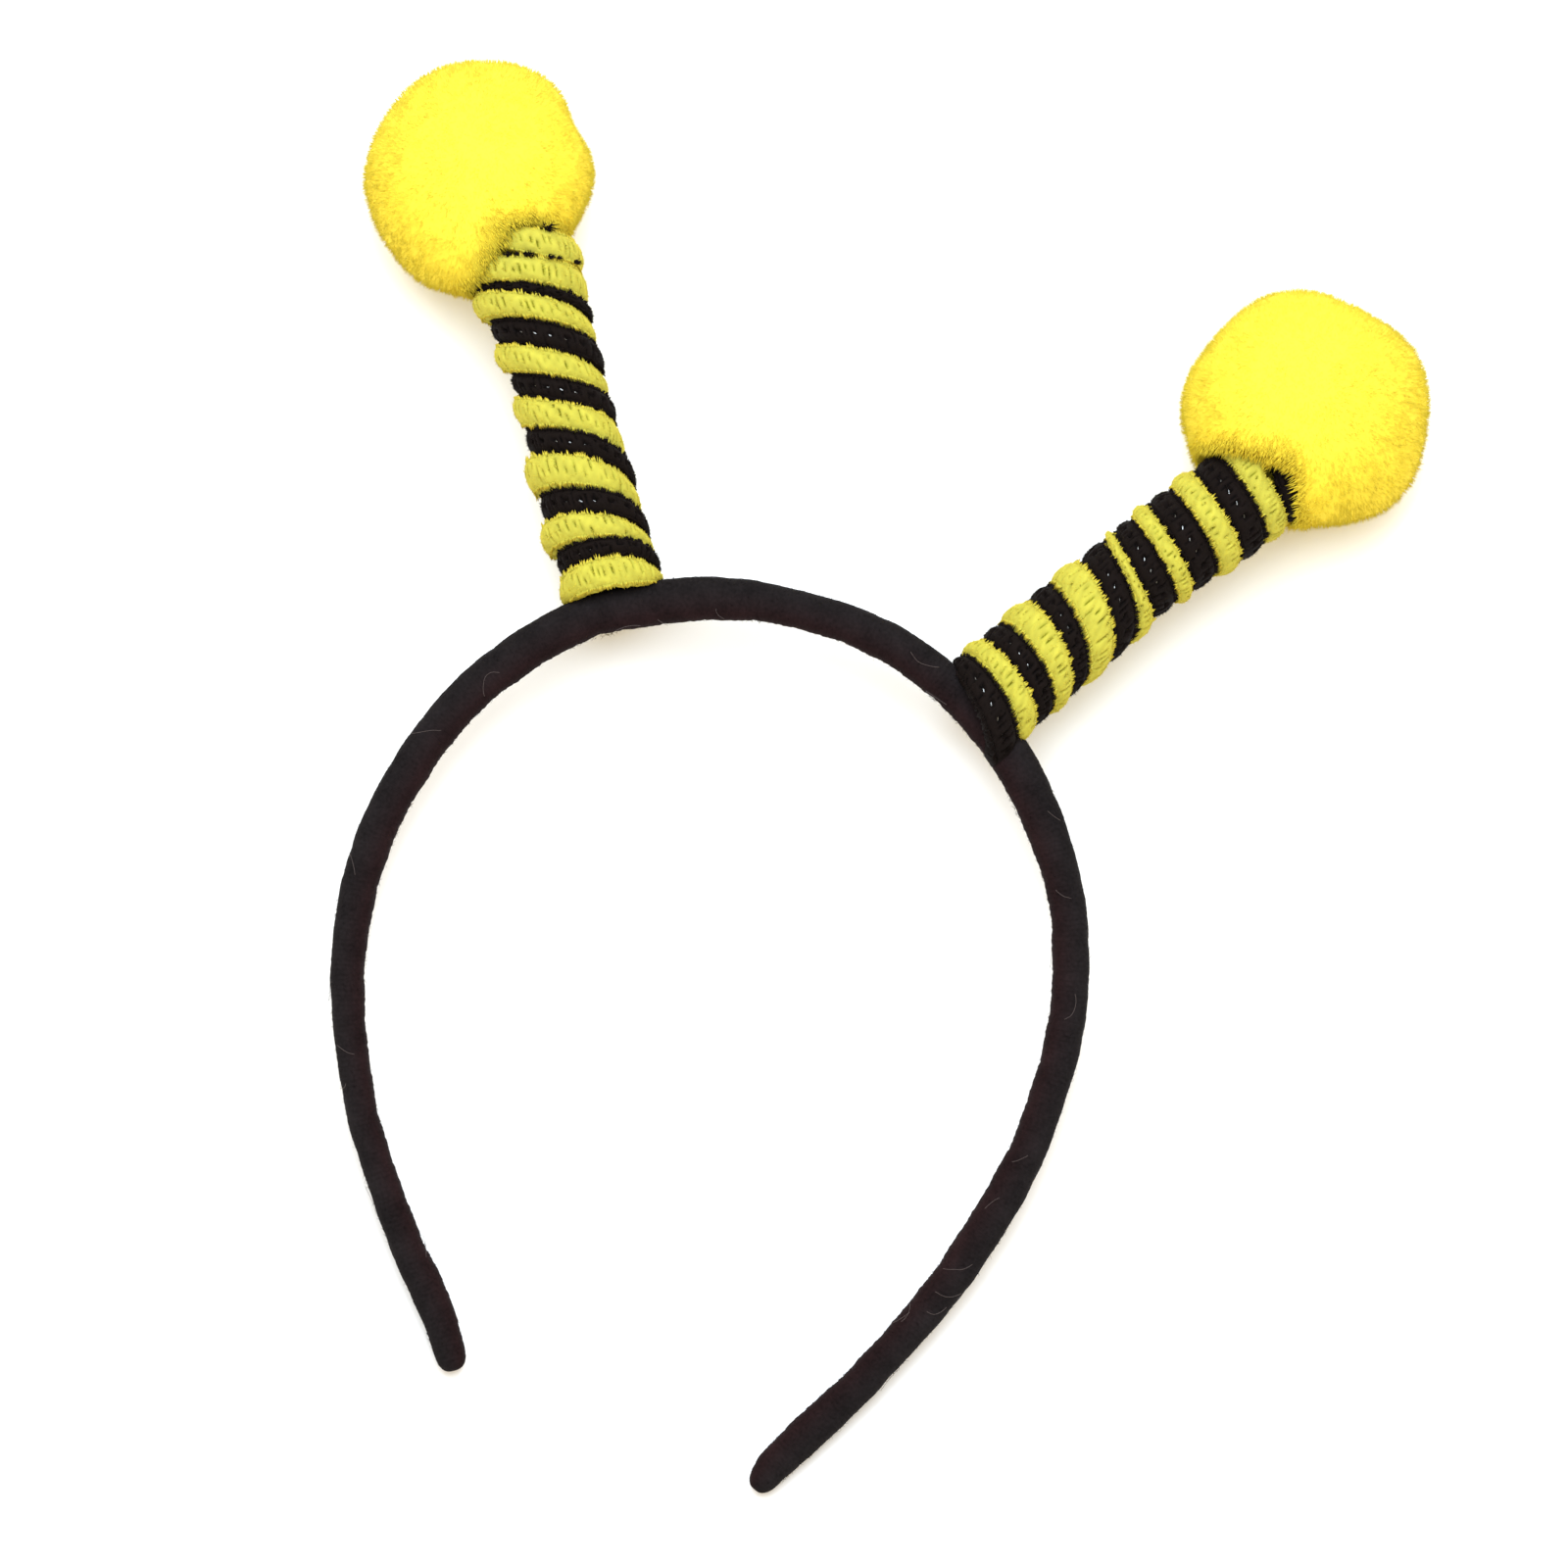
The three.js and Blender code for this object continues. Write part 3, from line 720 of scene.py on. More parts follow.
def map_place(tree):
    """The place on the colour map, and its parts across the map and up it."""
    place = add_node(tree, "ShaderNodeUVMap", uv_map=BAKE_MAP).outputs["UV"]
    parts = add_node(tree, "ShaderNodeSeparateXYZ", {"Vector": place})
    return place, parts.outputs["X"], parts.outputs["Y"]


def mixed(tree, share, one, other):
    """One colour going over into another as a share goes from 0 to 1, by the mix node's colour sockets."""
    first, second, result = 6, 7, 2
    inputs = {"Factor": share, first: one, second: other}
    return add_node(tree, "ShaderNodeMix", inputs, data_type="RGBA").outputs[result]


def shaded(tree, colour, factor):
    """A colour made lighter or darker by a factor."""
    return add_node(tree, "ShaderNodeHueSaturation", {"Color": colour, "Value": factor}).outputs[0]


def worked_out(tree, operation, *values):
    """The result of a sum with one or two values."""
    return add_node(tree, "ShaderNodeMath", dict(enumerate(values)), operation=operation).outputs[0]


def pile_material(name, root, body, tip, sheen, uneven):
    """Cut synthetic pile: matt fibre, darkened down between the locks by painted shade, and made brighter and
    warmer at its ends by painted light.

    The map's height is the depth in the pile, from root over body to tip, and its width is a lock's own tone;
    uneven is how much the tones differ.
    """
    material, tree = new_material(name)
    _, tone, depth = map_place(tree)
    to_body = ranged(tree, depth, given=(0.05, 0.55), kind="SMOOTHSTEP")
    to_tip = ranged(tree, depth, given=(0.6, 1.0), kind="SMOOTHSTEP")
    colour = mixed(tree, to_tip, mixed(tree, to_body, root, body), tip)
    inputs = {
        "Base Color": shaded(tree, colour, ranged(tree, tone, (1 - uneven, 1 + uneven / 2))),
        "Roughness": ranged(tree, depth, (1.0, 0.75)),
        "Specular IOR Level": 0.1,
        "Sheen Weight": sheen,
        "Sheen Roughness": 0.5,
        "Sheen Tint": tip,
    }
    finish_material(tree, inputs)
    return material


def steel_material(look):
    """Drawn steel wire: bright metal with a soft highlight along it, a little uneven from drawing."""
    material, tree = new_material("drawn steel wire")
    roughness = ranged(tree, grain(tree, 0.3), (0.25, 0.45))
    finish_material(tree, {"Base Color": look.steel, "Metallic": 1.0, "Roughness": roughness})
    return material


def lint_material(look):
    """Pale hair: plain, fairly matt fibre."""
    material, tree = new_material("lint")
    finish_material(tree, {"Base Color": look.lint, "Roughness": 0.7})
    return material


def jersey_material(look, length, girth):
    """Brushed cotton jersey: a matt black knit with fine ribs across the band and a soft nap.

    The map runs along the band and round it, so that the ribs follow the band. Real ribs are about half as
    far apart; they are drawn coarser so that they show.
    """
    material, tree = new_material("brushed black jersey")
    place, _, around = map_place(tree)
    cloth = add_node(tree, "ShaderNodeMapping", {"Vector": place, "Scale": (length, girth, 1.0)})
    ribs = add_node(
        tree,
        "ShaderNodeTexWave",
        {
            "Vector": cloth.outputs[0],
            "Scale": MM / look.rib * FULL_TURN / WAVE_UNIT,
            "Distortion": 2.5,
            "Detail": 2.0,
            "Detail Scale": 1.5,
        },
        bands_direction="X",
    )
    nap = grain(tree, 0.6, 3.0)
    mottle = grain(tree, 5.0)
    # Painted warm light: the loop's inside takes the warmer, redder inner colour.
    from_inside = worked_out(tree, "ABSOLUTE", worked_out(tree, "SUBTRACT", around, 0.5))
    inner = ranged(tree, from_inside, given=(0.33, 0.12), kind="SMOOTHSTEP")
    worn = ranged(tree, worked_out(tree, "ADD", nap, mottle), (0.55, 1.5), (0.6, 1.4))
    relief = worked_out(tree, "ADD", ribs.outputs["Fac"], nap)
    height = {"Height": relief, "Strength": 0.6, "Distance": 0.12 * MM}
    inputs = {
        "Base Color": shaded(tree, mixed(tree, inner, look.outer, look.inner), worn),
        "Roughness": ranged(tree, nap, (0.8, 1.0)),
        "Specular IOR Level": 0.05,
        "Sheen Weight": 0.04,
        "Sheen Roughness": 0.6,
        "Sheen Tint": look.lint,
        "Normal": add_node(tree, "ShaderNodeBump", height).outputs[0],
    }
    finish_material(tree, inputs)
    return material


def floor_material(look):
    """Matt white paper: a pale, even surface with a faint grain."""
    material, tree = new_material("matt paper")
    roughness = ranged(tree, grain(tree, 2.0), (0.85, 1.0))
    finish_material(tree, {"Base Color": look.floor, "Roughness": roughness, "Specular IOR Level": 0.1})
    return material


def add_lamp(name, place, aim, size, power, colour):
    """A square soft lamp at a place in the part's frame, turned towards an aim."""
    data = bpy.data.lights.new(name, "AREA")
    data.size = size
    data.energy = power
    data.color = colour
    lamp = bpy.data.objects.new(name, data)
    lamp.location = place
    lamp.rotation_euler = (Vector(aim) - Vector(place)).to_track_quat("-Z", "Y").to_euler()
    bpy.context.scene.collection.objects.link(lamp)


class HEADBAND_OT_stage(bpy.types.Operator):
    """Adds the floor, the soft light and the camera"""

    bl_idname = "headband.stage"
    bl_label = "Stage"

    def execute(self, context):
        look = context.scene.headband_stage
        mesh = bpy.data.meshes.new("floor")
        corners = [(x * FLOOR_HALF, y * FLOOR_HALF, 0) for x, y in ((-1, -1), (1, -1), (1, 1), (-1, 1))]
        mesh.from_pydata(corners, [], [(0, 1, 2, 3)])
        mesh.materials.append(floor_material(look))
        floor = bpy.data.objects.new("floor", mesh)
        context.scene.collection.objects.link(floor)

        world = bpy.data.worlds.new("studio")
        world.use_nodes = True
        world.node_tree.nodes.clear()
        sky = add_node(world.node_tree, "ShaderNodeBackground", {"Color": look.glow, "Strength": look.sky})
        add_node(world.node_tree, "ShaderNodeOutputWorld", {"Surface": sky.outputs[0]})
        context.scene.world = world
        add_lamp("key", KEY_PLACE, KEY_AIM, KEY_SIZE, look.key, KEY_COLOUR)

        axes = LEAN @ np.array(Matrix.Rotation(VIEW_ROLL, 3, "Z"))
        data = bpy.data.cameras.new("camera")
        data.sensor_width = SENSOR
        data.lens = SENSOR * look.distance / (VIEW_WIDTH * MM)
        data.clip_start = look.distance * NEAR_CLIP
        camera = bpy.data.objects.new("camera", data)
        place = to_frame(np.array([*VIEW_MIDDLE, look.distance / MM]))
        camera.matrix_world = Matrix.Translation(place) @ Matrix(axes.tolist()).to_4x4()
        context.scene.collection.objects.link(camera)
        context.scene.camera = camera
        context.scene.view_settings.view_transform = "Standard"
        return {"FINISHED"}


class HEADBAND_OT_band(bpy.types.Operator):
    """Adds the band's knitted cover with its gathers, nap and lint"""

    bl_idname = "headband.band"
    bl_label = "Band"

    def execute(self, context):
        look = context.scene.headband_band
        rng = np.random.default_rng(SEEDS["band"])
        steps, sides, first, girth_share = 820, 48, 0.7, 1.7
        ends = np.array([0.02, 0.08, 0.2, 0.4])
        inner = np.linspace(first, BAND_PATH.length - first, steps)
        along = np.concatenate([ends, inner, BAND_PATH.length - ends[::-1]])
        around = np.arange(sides) / sides * FULL_TURN
        along, around = np.meshgrid(along, around, indexing="ij")
        cover = BAND_PATH.surface(along, around, self.folds(look, along, around, rng))
        places = np.stack([along / BAND_PATH.length, around / FULL_TURN], -1).reshape(-1, 2)
        places = np.concatenate([places, [(0.0, 0.5), (1.0, 0.5)]])
        parts = [tube_part(cover, places), self.nap(look, rng), *self.lint(rng)]
        girth = (BAND["thick"].mean() + BAND["wide"].mean()) * girth_share
        materials = [jersey_material(look, BAND_PATH.length, girth), lint_material(look)]
        add_piece("band_cover", "band", parts, materials)
        return {"FINISHED"}

    def folds(self, look, along, around, rng):
        """How far the cloth stands proud: cross gathers, deeper inside the loop, broad waves and dents."""
        girth, broad_depth, least_ease = 25.0, 0.12, 0.15
        all_round, more_inside = 0.6, 0.8
        places = np.stack([along, around / FULL_TURN * girth], -1)
        fine = ripples(places, [(1.3, 30), (1.9, 22), (2.6, 40), (3.7, 18)], rng)
        broad = ripples(places, [(14, 20), (23, 26), (9, 16)], rng)
        inside = 0.5 - 0.5 * np.cos(around)
        ease = np.clip(np.minimum(along, BAND_PATH.length - along) / TIP_LENGTH, least_ease, 1)
        depth = fine * look.gather / MM * (all_round + more_inside * inside) + broad_depth * broad
        turn = np.interp(along, BAND_PATH.lengths, BAND_PATH.turns)
        for dent in DENTS:
            away = np.radians(turn - dent["turn"]) * BAND["reach"].mean() / dent["long"]
            depth -= dent["deep"] * np.exp(-(away**2) / 2) * inside**3
        return depth * ease

    def nap(self, look, rng):
        """Short loose fibres that stand a little out of the cloth, most of them combed along it."""
        count, width, sunk = look.fuzz_count, 0.09, 0.1
        shares, lifts = (0.4, 1.3), (0.15, 0.75)
        combed, skew = 1.4, 0.12
        root_end, tip_end = 1.0, 0.6
        along = rng.uniform(root_end, BAND_PATH.length - root_end, count)
        around = rng.uniform(0, FULL_TURN, count)
        length = look.fuzz / MM * rng.uniform(*shares, count)
        lift = rng.uniform(*lifts, count)
        roots = BAND_PATH.surface(along, around, np.full(count, -sunk))
        way = length * np.cos(lift * combed) * rng.choice([-1, 1], count)
        ahead = np.clip(along + way, tip_end, BAND_PATH.length - tip_end)
        turned = around + rng.normal(0, skew, count)
        tips = BAND_PATH.surface(ahead, turned, length * np.sin(lift))
        here = np.stack([along / BAND_PATH.length, around / FULL_TURN], -1)
        slip = np.array([(-0.001, 0), (0, 0.002), (0.001, 0), (0, -0.002)])
        places = np.clip(here[:, None] + slip, 0, 1).reshape(-1, 2)
        return spike_part(roots, tips, np.full(count, width), rng.uniform(0, FULL_TURN, count), places)

    def lint(self, rng):
        """A few pale hairs that lie on the upper side in loose curves, their ends a little raised."""
        count, steps, sides, radius = 26, 14, 4, 0.03
        from_end, upper, lengths = 20, (0.15, 0.85), (2.5, 6.5)
        curl, band_radius = 1.0, 4.0
        low, raised = 0.22, 0.25
        along = rng.uniform(from_end, BAND_PATH.length - from_end, count)[:, None]
        around = rng.uniform(*upper, count)[:, None] * math.pi
        share = np.linspace(-0.5, 0.5, steps)[None, :]
        length = rng.uniform(*lengths, count)[:, None]
        heading = rng.uniform(0, FULL_TURN, count)[:, None]
        direction = heading + rng.normal(0, curl, count)[:, None] * share
        along = along + np.cumsum(np.cos(direction), 1) / steps * length
        around = around + np.cumsum(np.sin(direction), 1) / steps * length / band_radius
        lift = np.broadcast_to(low + raised * (2 * share) ** 2, along.shape)
        hairs = BAND_PATH.surface(along, around, lift)
        return [rod_part(hair, radius, sides, (0.0, 0.0, 1.0)) for hair in hairs]


class HEADBAND_OT_chenille(bpy.types.Operator):
    """Adds the black and yellow chenille stems of both antennae"""

    bl_idname = "headband.chenille"
    bl_label = "Chenille"

    def execute(self, context):
        look = context.scene.headband_chenille
        piles = {}
        for colour, finish in PILE.items():
            colours = [getattr(look, f"{colour}_{depth}") for depth in ("root", "body", "tip")]
            piles[colour] = pile_material(f"{colour} polyester pile", *colours, **finish)
        steel = steel_material(look)
        stems = [(side, colour) for side in ANTENNAE for colour in PILE]
        for seed, (side, colour) in enumerate(stems, start=SEEDS["chenille"]):
            rng = np.random.default_rng(seed)
            antenna = ANTENNAE[side]
            parts = [make(look, antenna, colour, rng) for make in (self.bed, self.fuzz, self.fringe)]
            if colour == "black":
                parts += [self.strays(antenna, rng), *self.wires(look, antenna)]
            name = f"chenille_{colour}_{side}"
            add_piece(f"{name}_stem", name, parts, [piles[colour], steel])
        return {"FINISHED"}

    def way_round(self, antenna):
        """Length of one turn of a stem, along the middle of its section."""
        return FULL_TURN * (antenna["turns"]["reach"].mean() - STEM / 2)

    def bed(self, look, antenna, colour, rng):
        """The pile as one close tube, with an uneven rim on both sides and short slits across its outer side.

        The outer side of each ring has more points than the inner. Every third to fifth ring has a slit about
        a random angle, of a random length and depth. On black the pile opens over the crests of the wires.
        """
        first, last = antenna[colour]
        spacing, sides, crowding, girth = 0.24, 28, 0.45, STEM / 2
        fullness, uneven_rim, grain_depth, clear = 0.96, 0.12, 0.01, 0.1
        level, slit_shade, uneven_tone = 0.6, 1.4, 0.2
        round_coil = self.way_round(antenna)
        steps = int((last - first) * round_coil / spacing)
        even = (np.arange(sides) + 0.5) / sides * FULL_TURN - math.pi
        angle = (even - crowding * np.sin(even))[None, :]
        row = np.linspace(first, last, steps)[:, None]

        slit = np.cumsum(rng.integers(*SLIT["every"], steps))
        slit = slit[slit < steps]
        about, long, deep = np.zeros((steps, 1)), np.ones((steps, 1)), np.zeros((steps, 1))
        about[slit, 0] = rng.normal(0, SLIT["about"], len(slit))
        long[slit, 0] = rng.uniform(*SLIT["long"], len(slit))
        deep[slit, 0] = rng.uniform(*SLIT["deep"], len(slit))
        cut = deep * np.exp(-(((angle - about) / long) ** 4))
        upper, lower = rng.uniform(-uneven_rim, uneven_rim, (2, steps, 1))
        rim = np.where(angle > 0, upper, lower) * np.sin(angle) ** 4
        spread = fullness - cut + rim + rng.normal(0, grain_depth, (steps, sides))
        if colour == "black":
            crest = look.twist / MM / 2
            beside = ((row - first) * round_coil / crest) % 1 - 0.5
            oval = (beside * crest / OPENING["long"]) ** 2 + (angle * girth / OPENING["wide"]) ** 2
            spread -= OPENING["deep"] * np.exp(-(oval**2))
        row, angle = (values.ravel() for values in np.broadcast_arrays(row, angle))
        rings = stem_points(antenna, colour, row, angle, spread.ravel())
        rings, _ = BAND_PATH.pushed_out(rings, clear)
        waves = [(1.3, 2.5), (2.4, 4), (7, 6)]
        tone = 0.5 + uneven_tone * ripples(np.stack([row * round_coil, angle * girth], 1), waves, rng)
        # Painted shade: the slits are darkened towards the root colour as well as cut in.
        places = tube_map(tone, level - slit_shade * cut.ravel())
        return tube_part(rings.reshape(steps, sides, 3), places)

    def fuzz(self, look, antenna, colour, rng):
        """Loose fibres that stand out of the pile's outer side, each leaning a little its own way."""
        first, last = antenna[colour]
        count, arc, skew, lean = look.fibres, 1.7, 0.2, 0.07
        root_share, tip_share, uneven = 0.88, 1.07, 0.04
        row = rng.uniform(first, last, count)
        angle = arc * rng.uniform(-1, 1, count)
        tip_row = np.clip(row + rng.normal(0, skew, count) / self.way_round(antenna), first, last)
        tip_angle = angle + rng.normal(0, lean, count)
        roots = stem_points(antenna, colour, row, angle, root_share)
        tips = stem_points(antenna, colour, tip_row, tip_angle, rng.normal(tip_share, uneven, count))
        return self.tufts(look.fibre, roots, tips, rng)

    def fringe(self, look, antenna, colour, rng):
        """Broad short tufts along both rims, which reach over the next stripe's edge in uneven clumps."""
        first, last = antenna[colour]
        count, root_share, skew = look.fringe, 0.75, 0.2
        root_depth, tip_depth, tip_uneven = 1.0, 0.6, 0.1
        past_rim, clumped, uneven = 0.15, 0.3, 0.15
        waves = [(1.6,), (2.4,), (3.6,)]
        row = rng.uniform(first, last, count)
        side = rng.choice([-1.0, 1.0], count)
        middle, half, outer, share = stripe(antenna, colour, row)
        turn = turn_at(row)
        rim = half * share
        roots = antenna_points(antenna, middle + side * rim * root_share, outer - root_depth, turn)
        length = (row * self.way_round(antenna))[:, None]
        upper, lower = (ripples(length, waves, rng) for _ in range(2))
        clump = np.where(side > 0, upper, lower)
        over = side * (rim + past_rim + clumped * clump + rng.uniform(-uneven, uneven, count))
        level = outer - PROUD[colour] - tip_depth + rng.normal(0, tip_uneven, count)
        tips = antenna_points(antenna, middle + over, level, turn + rng.normal(0, skew, count) / outer)
        return self.tufts(look.tuft, roots, tips, rng)

    def tufts(self, width, roots, tips, rng):
        """Spikes of pile from roots to tips, without those that would end in the band."""
        root_level = 0.5
        _, lost = BAND_PATH.pushed_out(tips, 0.0)
        count = np.count_nonzero(~lost)
        widths = width / MM * rng.uniform(*FIBRE_WIDTHS, count)
        spin = rng.uniform(0, FULL_TURN, count)
        places = spike_map(rng.uniform(*PILE_TONES, count), root_level)
        return spike_part(roots[~lost], tips[~lost], widths, spin, places)

    def strays(self, antenna, rng):
        """Tufts of black pile that come out between the yellow turns beyond the black stem's end."""
        each, width, root_level = 34, 0.34, 0.45
        deep, proud, scatter = 0.2, 0.1, 0.2
        flat, fanned, raised = 0.6, 1.6, 1.2
        row = np.repeat(antenna["strays"]["row"], each)
        wide = np.repeat(antenna["strays"]["wide"], each)
        middle, _, outer, _ = stripe(antenna, "black", row)
        outer += PROUD["yellow"] - PROUD["black"]
        turn = turn_at(row)
        aside, up, fan, lift, long = rng.normal(0, scatter, (5, len(row)))
        root_turn = turn + aside * wide / outer
        roots = antenna_points(antenna, middle + flat * up * wide, outer - STEM * deep, root_turn)
        tip_turn = turn + (fanned * aside + fan) * wide / outer
        tip_height = middle + (flat * up + raised * lift) * wide
        tips = antenna_points(antenna, tip_height, outer + proud + long, tip_turn)
        spin = rng.uniform(0, FULL_TURN, len(row))
        places = spike_map(rng.uniform(*PILE_TONES, len(row)), root_level)
        return spike_part(roots, tips, np.full(len(row), width), spin, places)

    def wires(self, look, antenna):
        """Two steel wires twisted about each other under the outer side of the pile."""
        first, last = antenna["wires"]
        sides, radius, lay, sunk = 6, look.wire / MM / 2, 0.45, 1.8
        steps_a_twist, first_crest = 9, 0.25
        twists = self.way_round(antenna) / (look.twist / MM)
        steps = int((last - first) * twists * steps_a_twist)
        row = np.linspace(first, last, steps)
        twist = ((row - antenna["black"][0]) * twists - first_crest) * FULL_TURN
        middle, _, outer, _ = stripe(antenna, "black", row)
        turn = turn_at(row)
        axis = antenna_points(antenna, middle, outer * 0, turn)
        parts = []
        for start in (0, math.pi):
            height = middle + lay * np.sin(twist + start)
            path = antenna_points(antenna, height, outer - sunk + lay * np.cos(twist + start), turn)
            parts.append(rod_part(path, radius, sides, axis - path))
        return parts


class HEADBAND_OT_pompoms(bpy.types.Operator):
    """Adds the two fluffy pompoms"""

    bl_idname = "headband.pompoms"
    bl_label = "Pompoms"

    def execute(self, context):
        look = context.scene.headband_pompoms
        fluff = pile_material("yellow acrylic fluff", look.root, look.body, look.tip, **FLUFF)
        for seed, (side, antenna) in enumerate(ANTENNAE.items(), start=SEEDS["pompoms"]):
            rng = np.random.default_rng(seed)
            middle = self.middle(side, antenna)
            parts = [self.head(look, antenna, middle, rng), self.locks(look, antenna, middle, rng)]
            add_piece(f"pompom_{side}_fluff", f"pompom_{side}", parts, [fluff])
        return {"FINISHED"}

    def middle(self, side, antenna):
        """A pompom's middle, beside its antenna's end and as high as its node's."""
        pompom = antenna["pompom"]
        ahead, right = directions(antenna)
        x, y = antenna["foot"] + pompom["along"] * ahead + pompom["aside"] * right
        low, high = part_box(f"pompom_{side}")
        rise = (low.z + high.z) / 2 / MM - LOOP_MIDDLE[2]
        z = (rise - y * math.sin(REST_LEAN)) / math.cos(REST_LEAN)
        return np.array([x, y, z])

    def reach(self, antenna, direction):
        """How far the fluff reaches in a direction: the pompom's mean reach with the lumps of its outline."""
        lumps = antenna["lumps"]
        toward, rise = np.radians(lumps["toward"]), np.radians(lumps["rise"])
        level = np.cos(rise)
        to = np.stack([np.cos(toward) * level, np.sin(toward) * level, np.sin(rise)], 1)
        off = np.degrees(np.arccos(np.clip(direction @ to.T, -1, 1))) / lumps["spread"]
        return antenna["pompom"]["reach"] + (lumps["by"] * np.exp(-(off**2) / 2)).sum(-1)

    def coil_end(self, antenna, turn):
        """How high up the coil reaches at turns about its axis: the higher end of its two stems there."""
        table = np.linspace(-math.pi, math.pi, END_STEPS)
        part = table / FULL_TURN - UPPER_SIDE
        ends = []
        for colour in ("black", "yellow"):
            last = antenna[colour][1]
            middle, half, _, _ = stripe(antenna, colour, last - (last - part) % 1)
            ends.append(middle + half)
        return np.interp(turn, table, np.maximum(*ends))

    def in_room(self, antenna, points, clear, past=0.0):
        """True where points lie in the coil, nearer to it than clear, or further than past in its parting.

        A point's height along the coil is worked back from its place with the turns' tilt and nod. The coil
        is a rod with a rounded end. The parting above it ends at the coil's end or on a curve over the axis,
        and further on the further out from the coil.
        """
        ahead, right = directions(antenna)
        from_foot = points[:, :2] - antenna["foot"]
        along, across = from_foot @ ahead, from_foot @ right
        reach, aside, tilt, nod = coil_shape(antenna, along)
        beside = across - aside
        height = along + (tilt * beside + nod * (reach - points[:, 2])) / reach
        over = height - self.coil_end(antenna, np.arctan2(points[:, 2], beside))
        out = np.hypot(beside, points[:, 2]) - reach - PROUD["yellow"]
        corner = np.hypot(np.maximum(over + SOCKET_ROUND, 0), np.maximum(out + SOCKET_ROUND, 0))
        in_coil = corner < SOCKET_ROUND + clear
        slope = PARTING_SLOPE * np.maximum(out, 0) - past
        fall = PARTING_BEND * np.abs(across - PARTING_MIDDLE) ** PARTING_POWER
        parted = (points[:, 2] > 0) & (along < antenna["pompom"]["parting"] - fall + slope) & (over < slope)
        return in_coil | parted

    def free_reach(self, antenna, middle, direction, clear):
        """How far out in a direction the fluff still is, with the coil's room left out."""
        whole = self.reach(antenna, direction)
        nearest, steps = 0.3, 90
        far = whole * nearest
        for share in np.linspace(nearest, 1, steps):
            free = ~self.in_room(antenna, middle + direction * (whole * share)[:, None], clear)
            far = np.where(free, whole * share, far)
        return far

    def near_lip(self, antenna, points):
        """How near points are to the lip of the parting: from 0 at LIP_WIDTH and further off to 1 on it."""
        least, steps = 0.4, 7
        lengths = np.linspace(least, LIP_WIDTH, steps)
        return np.mean([self.in_room(antenna, points, length, -length) for length in lengths], 0)

    def head(self, look, antenna, middle, rng):
        """The dense ball under the loose fibres, with soft bumps, drawn in where the coil enters."""
        rings, sides, clear, sunk = 120, 220, 0.3, 0.4
        bump, bump_sizes, bump_shade = 0.07, (3, 10), 0.04
        level, uneven_tone, tone_sizes = 0.6, 0.1, (5, 12)
        polar = (np.arange(rings) + 0.5) / rings * math.pi
        azimuth = np.arange(sides) / sides * FULL_TURN
        polar, azimuth = np.meshgrid(polar, azimuth, indexing="ij")
        ring = np.sin(polar)
        direction = np.stack([ring * np.cos(azimuth), ring * np.sin(azimuth), np.cos(polar)], -1)
        direction = direction.reshape(-1, 3)
        far = self.free_reach(antenna, middle, direction, clear) - look.fluff / MM * sunk
        lumps = bumps(direction * far[:, None], bump_sizes, rng)
        out = direction * (far + bump * lumps)[:, None]
        tone = 0.5 + uneven_tone * bumps(out, tone_sizes, rng)
        # Painted shade: the ball's colour darkens towards the lip of the parting.
        painted_shade = antenna["pompom"]["painted_shade"] * self.near_lip(antenna, middle + out)
        # Painted shade and light on the bumps: the colour is lighter on their tops and darker in their
        # hollows.
        places = tube_map(tone, level + bump_shade * lumps - painted_shade)
        return tube_part((middle + out).reshape(rings, sides, 3), places)

    def locks(self, look, antenna, middle, rng):
        """Loose fibres over the ball; those of one lock lean the same way, and each a little its own.

        Towards the lip of the parting they lean more and more in over the coil, and painted shade darkens
        them.
        """
        count, locks, depth, chunks = look.fibres, 420, look.fluff / MM, 40
        clear, lap, into_coil = 0.1, 2.2, 0.2
        lock_lean, own_lean, lip_lean, lip_raised = 0.16, 0.2, (0.2, 1.6), 0.65
        long_share, lock_uneven, own_uneven = 1.2, 0.2, 0.12
        tone, lock_tone, own_tone, root_level = 0.3, 0.4, 0.1, 0.55
        direction = unit(rng.normal(0, 1, (count, 3)))
        heads = unit(rng.normal(0, 1, (locks, 3)))
        nearest = np.concatenate([(part @ heads.T).argmax(1) for part in np.array_split(direction, chunks)])
        lean = rng.normal(0, lock_lean, (locks, 3))[nearest] + rng.normal(0, own_lean, (count, 3))
        chance = rng.uniform(0, 1, locks)[nearest]
        surface = middle + direction * self.free_reach(antenna, middle, direction, clear)[:, None]
        near = self.near_lip(antenna, surface)[:, None]
        ahead, right = directions(antenna)
        across = (surface[:, :2] - antenna["foot"]) @ right
        inward = -ahead - right * np.clip(across / LIP_TURN, -1, 1)[:, None]
        lean[:, :2] += near * inward * rng.uniform(*lip_lean, (count, 1))
        roots = surface - direction * depth * (1 - lip_raised * near)
        long = depth * (long_share + lock_uneven * (chance - 0.5) + rng.normal(0, own_uneven, count))
        tips = roots + unit(direction + lean) * long[:, None]
        keep = ~self.in_room(antenna, tips, -into_coil, lap)
        width = look.fibre / MM * rng.uniform(*FIBRE_WIDTHS, count)
        spin = rng.uniform(0, FULL_TURN, count)
        tones = tone + lock_tone * chance + rng.normal(0, own_tone, count)
        # Painted shade: the fibres' colour darkens towards the lip of the parting.
        painted_shade = antenna["pompom"]["painted_shade"] * self.near_lip(antenna, tips[keep])
        places = spike_map(tones[keep], root_level - painted_shade, 1 - painted_shade)
        return spike_part(roots[keep], tips[keep], width[keep], spin[keep], places)


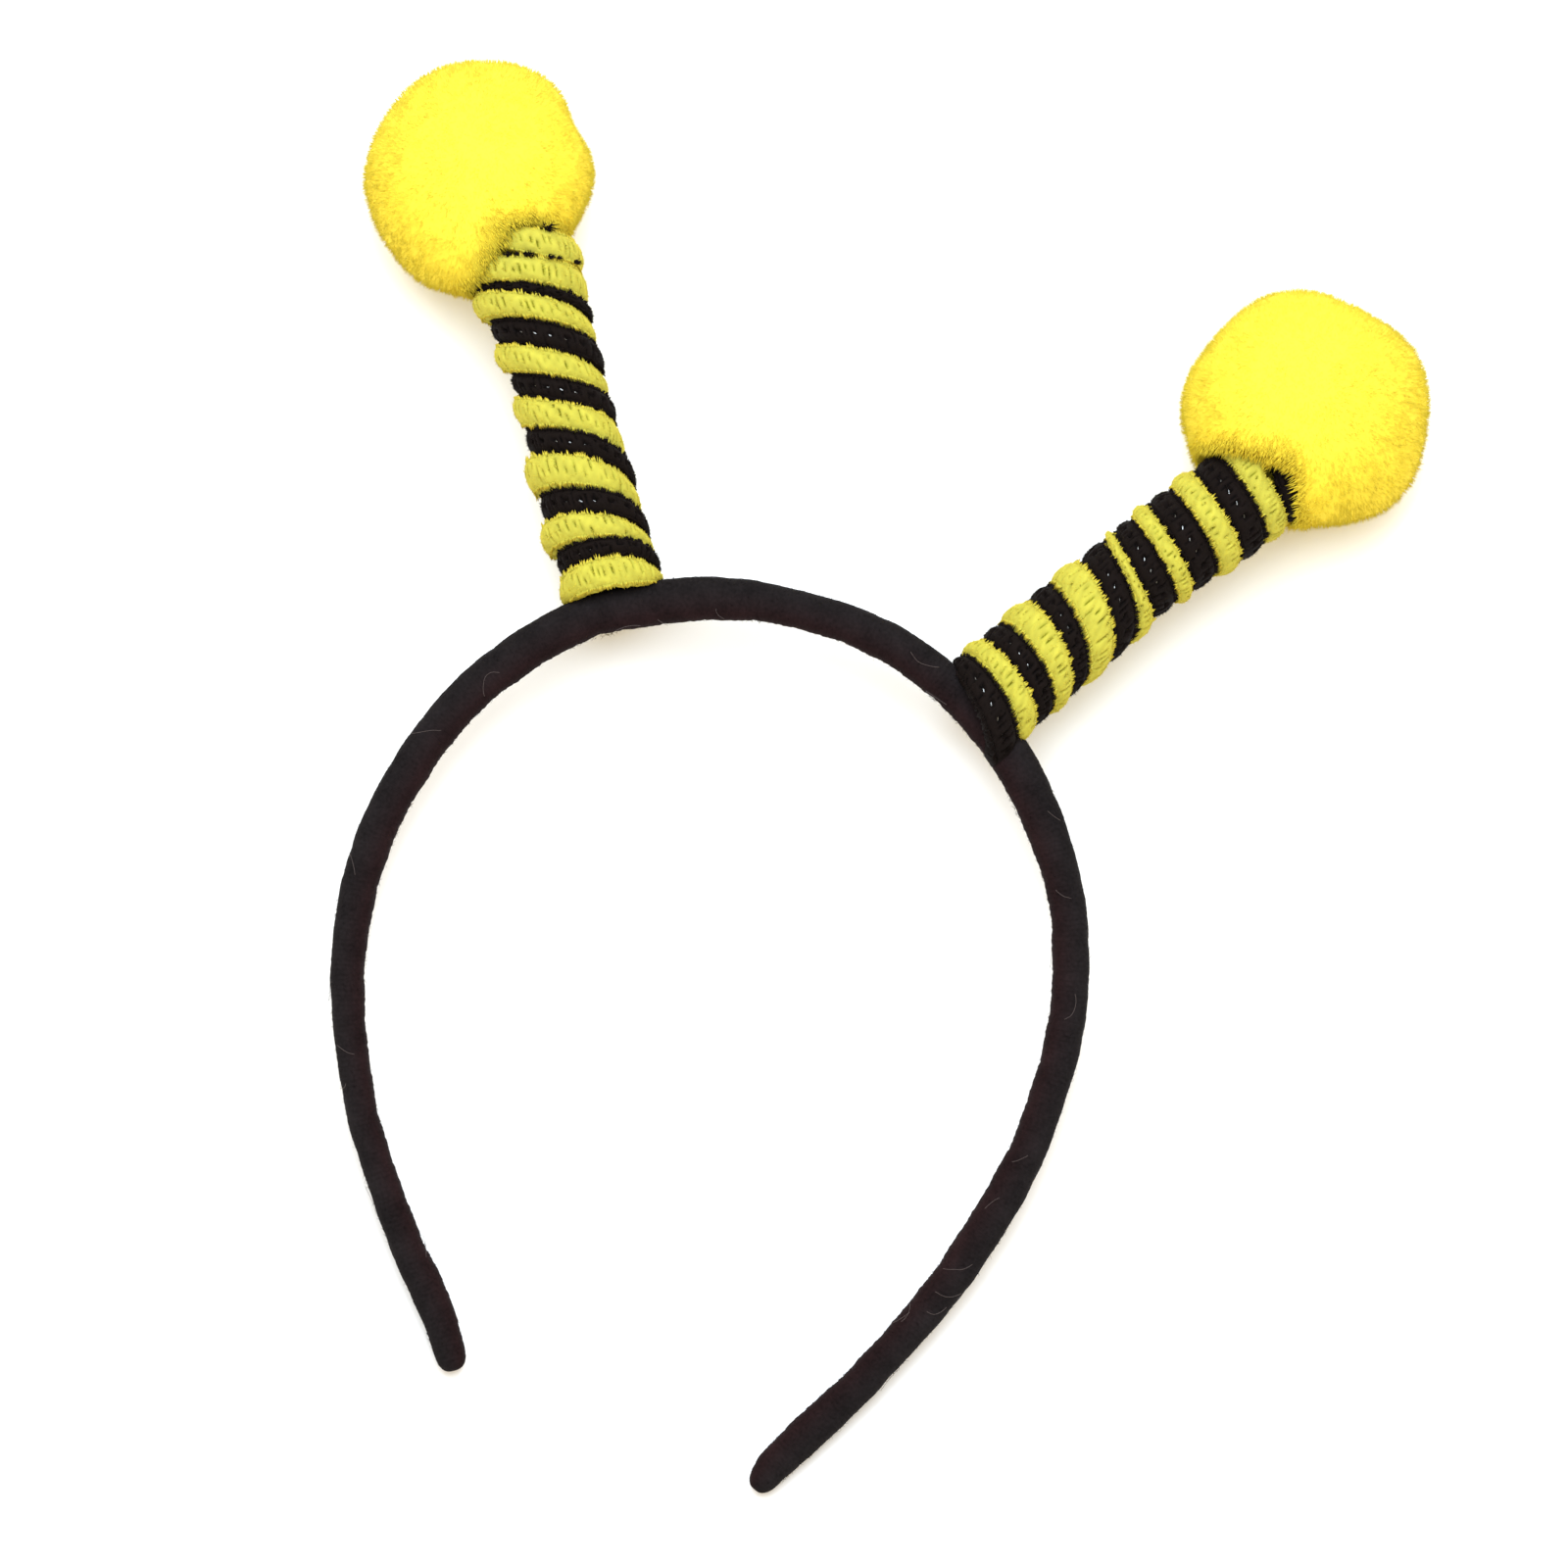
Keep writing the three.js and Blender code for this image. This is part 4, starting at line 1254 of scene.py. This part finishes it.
class HEADBAND_PT_pieces(bpy.types.Panel):
    """Lists the headband's pieces and their settings"""

    bl_label = "Antenna Headband"
    bl_idname = "HEADBAND_PT_pieces"
    bl_space_type = "VIEW_3D"
    bl_region_type = "UI"
    bl_category = "Headband"

    def draw(self, context):
        for operator, _, name in STEPS:
            box = self.layout.box()
            box.operator(operator.bl_idname)
            look = getattr(context.scene, name)
            for setting in look.bl_rna.properties:
                if setting.identifier not in ("rna_type", "name"):
                    box.prop(look, setting.identifier)


STEPS = (
    (HEADBAND_OT_stage, StageLook, "headband_stage"),
    (HEADBAND_OT_band, BandLook, "headband_band"),
    (HEADBAND_OT_chenille, ChenilleLook, "headband_chenille"),
    (HEADBAND_OT_pompoms, PompomLook, "headband_pompoms"),
)


def register():
    """Registers the settings, the operators and the panel."""
    for operator, look, name in STEPS:
        bpy.utils.register_class(look)
        setattr(bpy.types.Scene, name, PointerProperty(type=look))
        bpy.utils.register_class(operator)
    bpy.utils.register_class(HEADBAND_PT_pieces)


def unregister():
    """Takes the panel, the operators and the settings away again."""
    bpy.utils.unregister_class(HEADBAND_PT_pieces)
    for operator, look, name in reversed(STEPS):
        bpy.utils.unregister_class(operator)
        delattr(bpy.types.Scene, name)
        bpy.utils.unregister_class(look)


def main():
    """Builds the stage and every piece."""
    register()
    bpy.ops.headband.stage()
    bpy.ops.headband.band()
    bpy.ops.headband.chenille()
    bpy.ops.headband.pompoms()


if __name__ == "__main__":
    main()
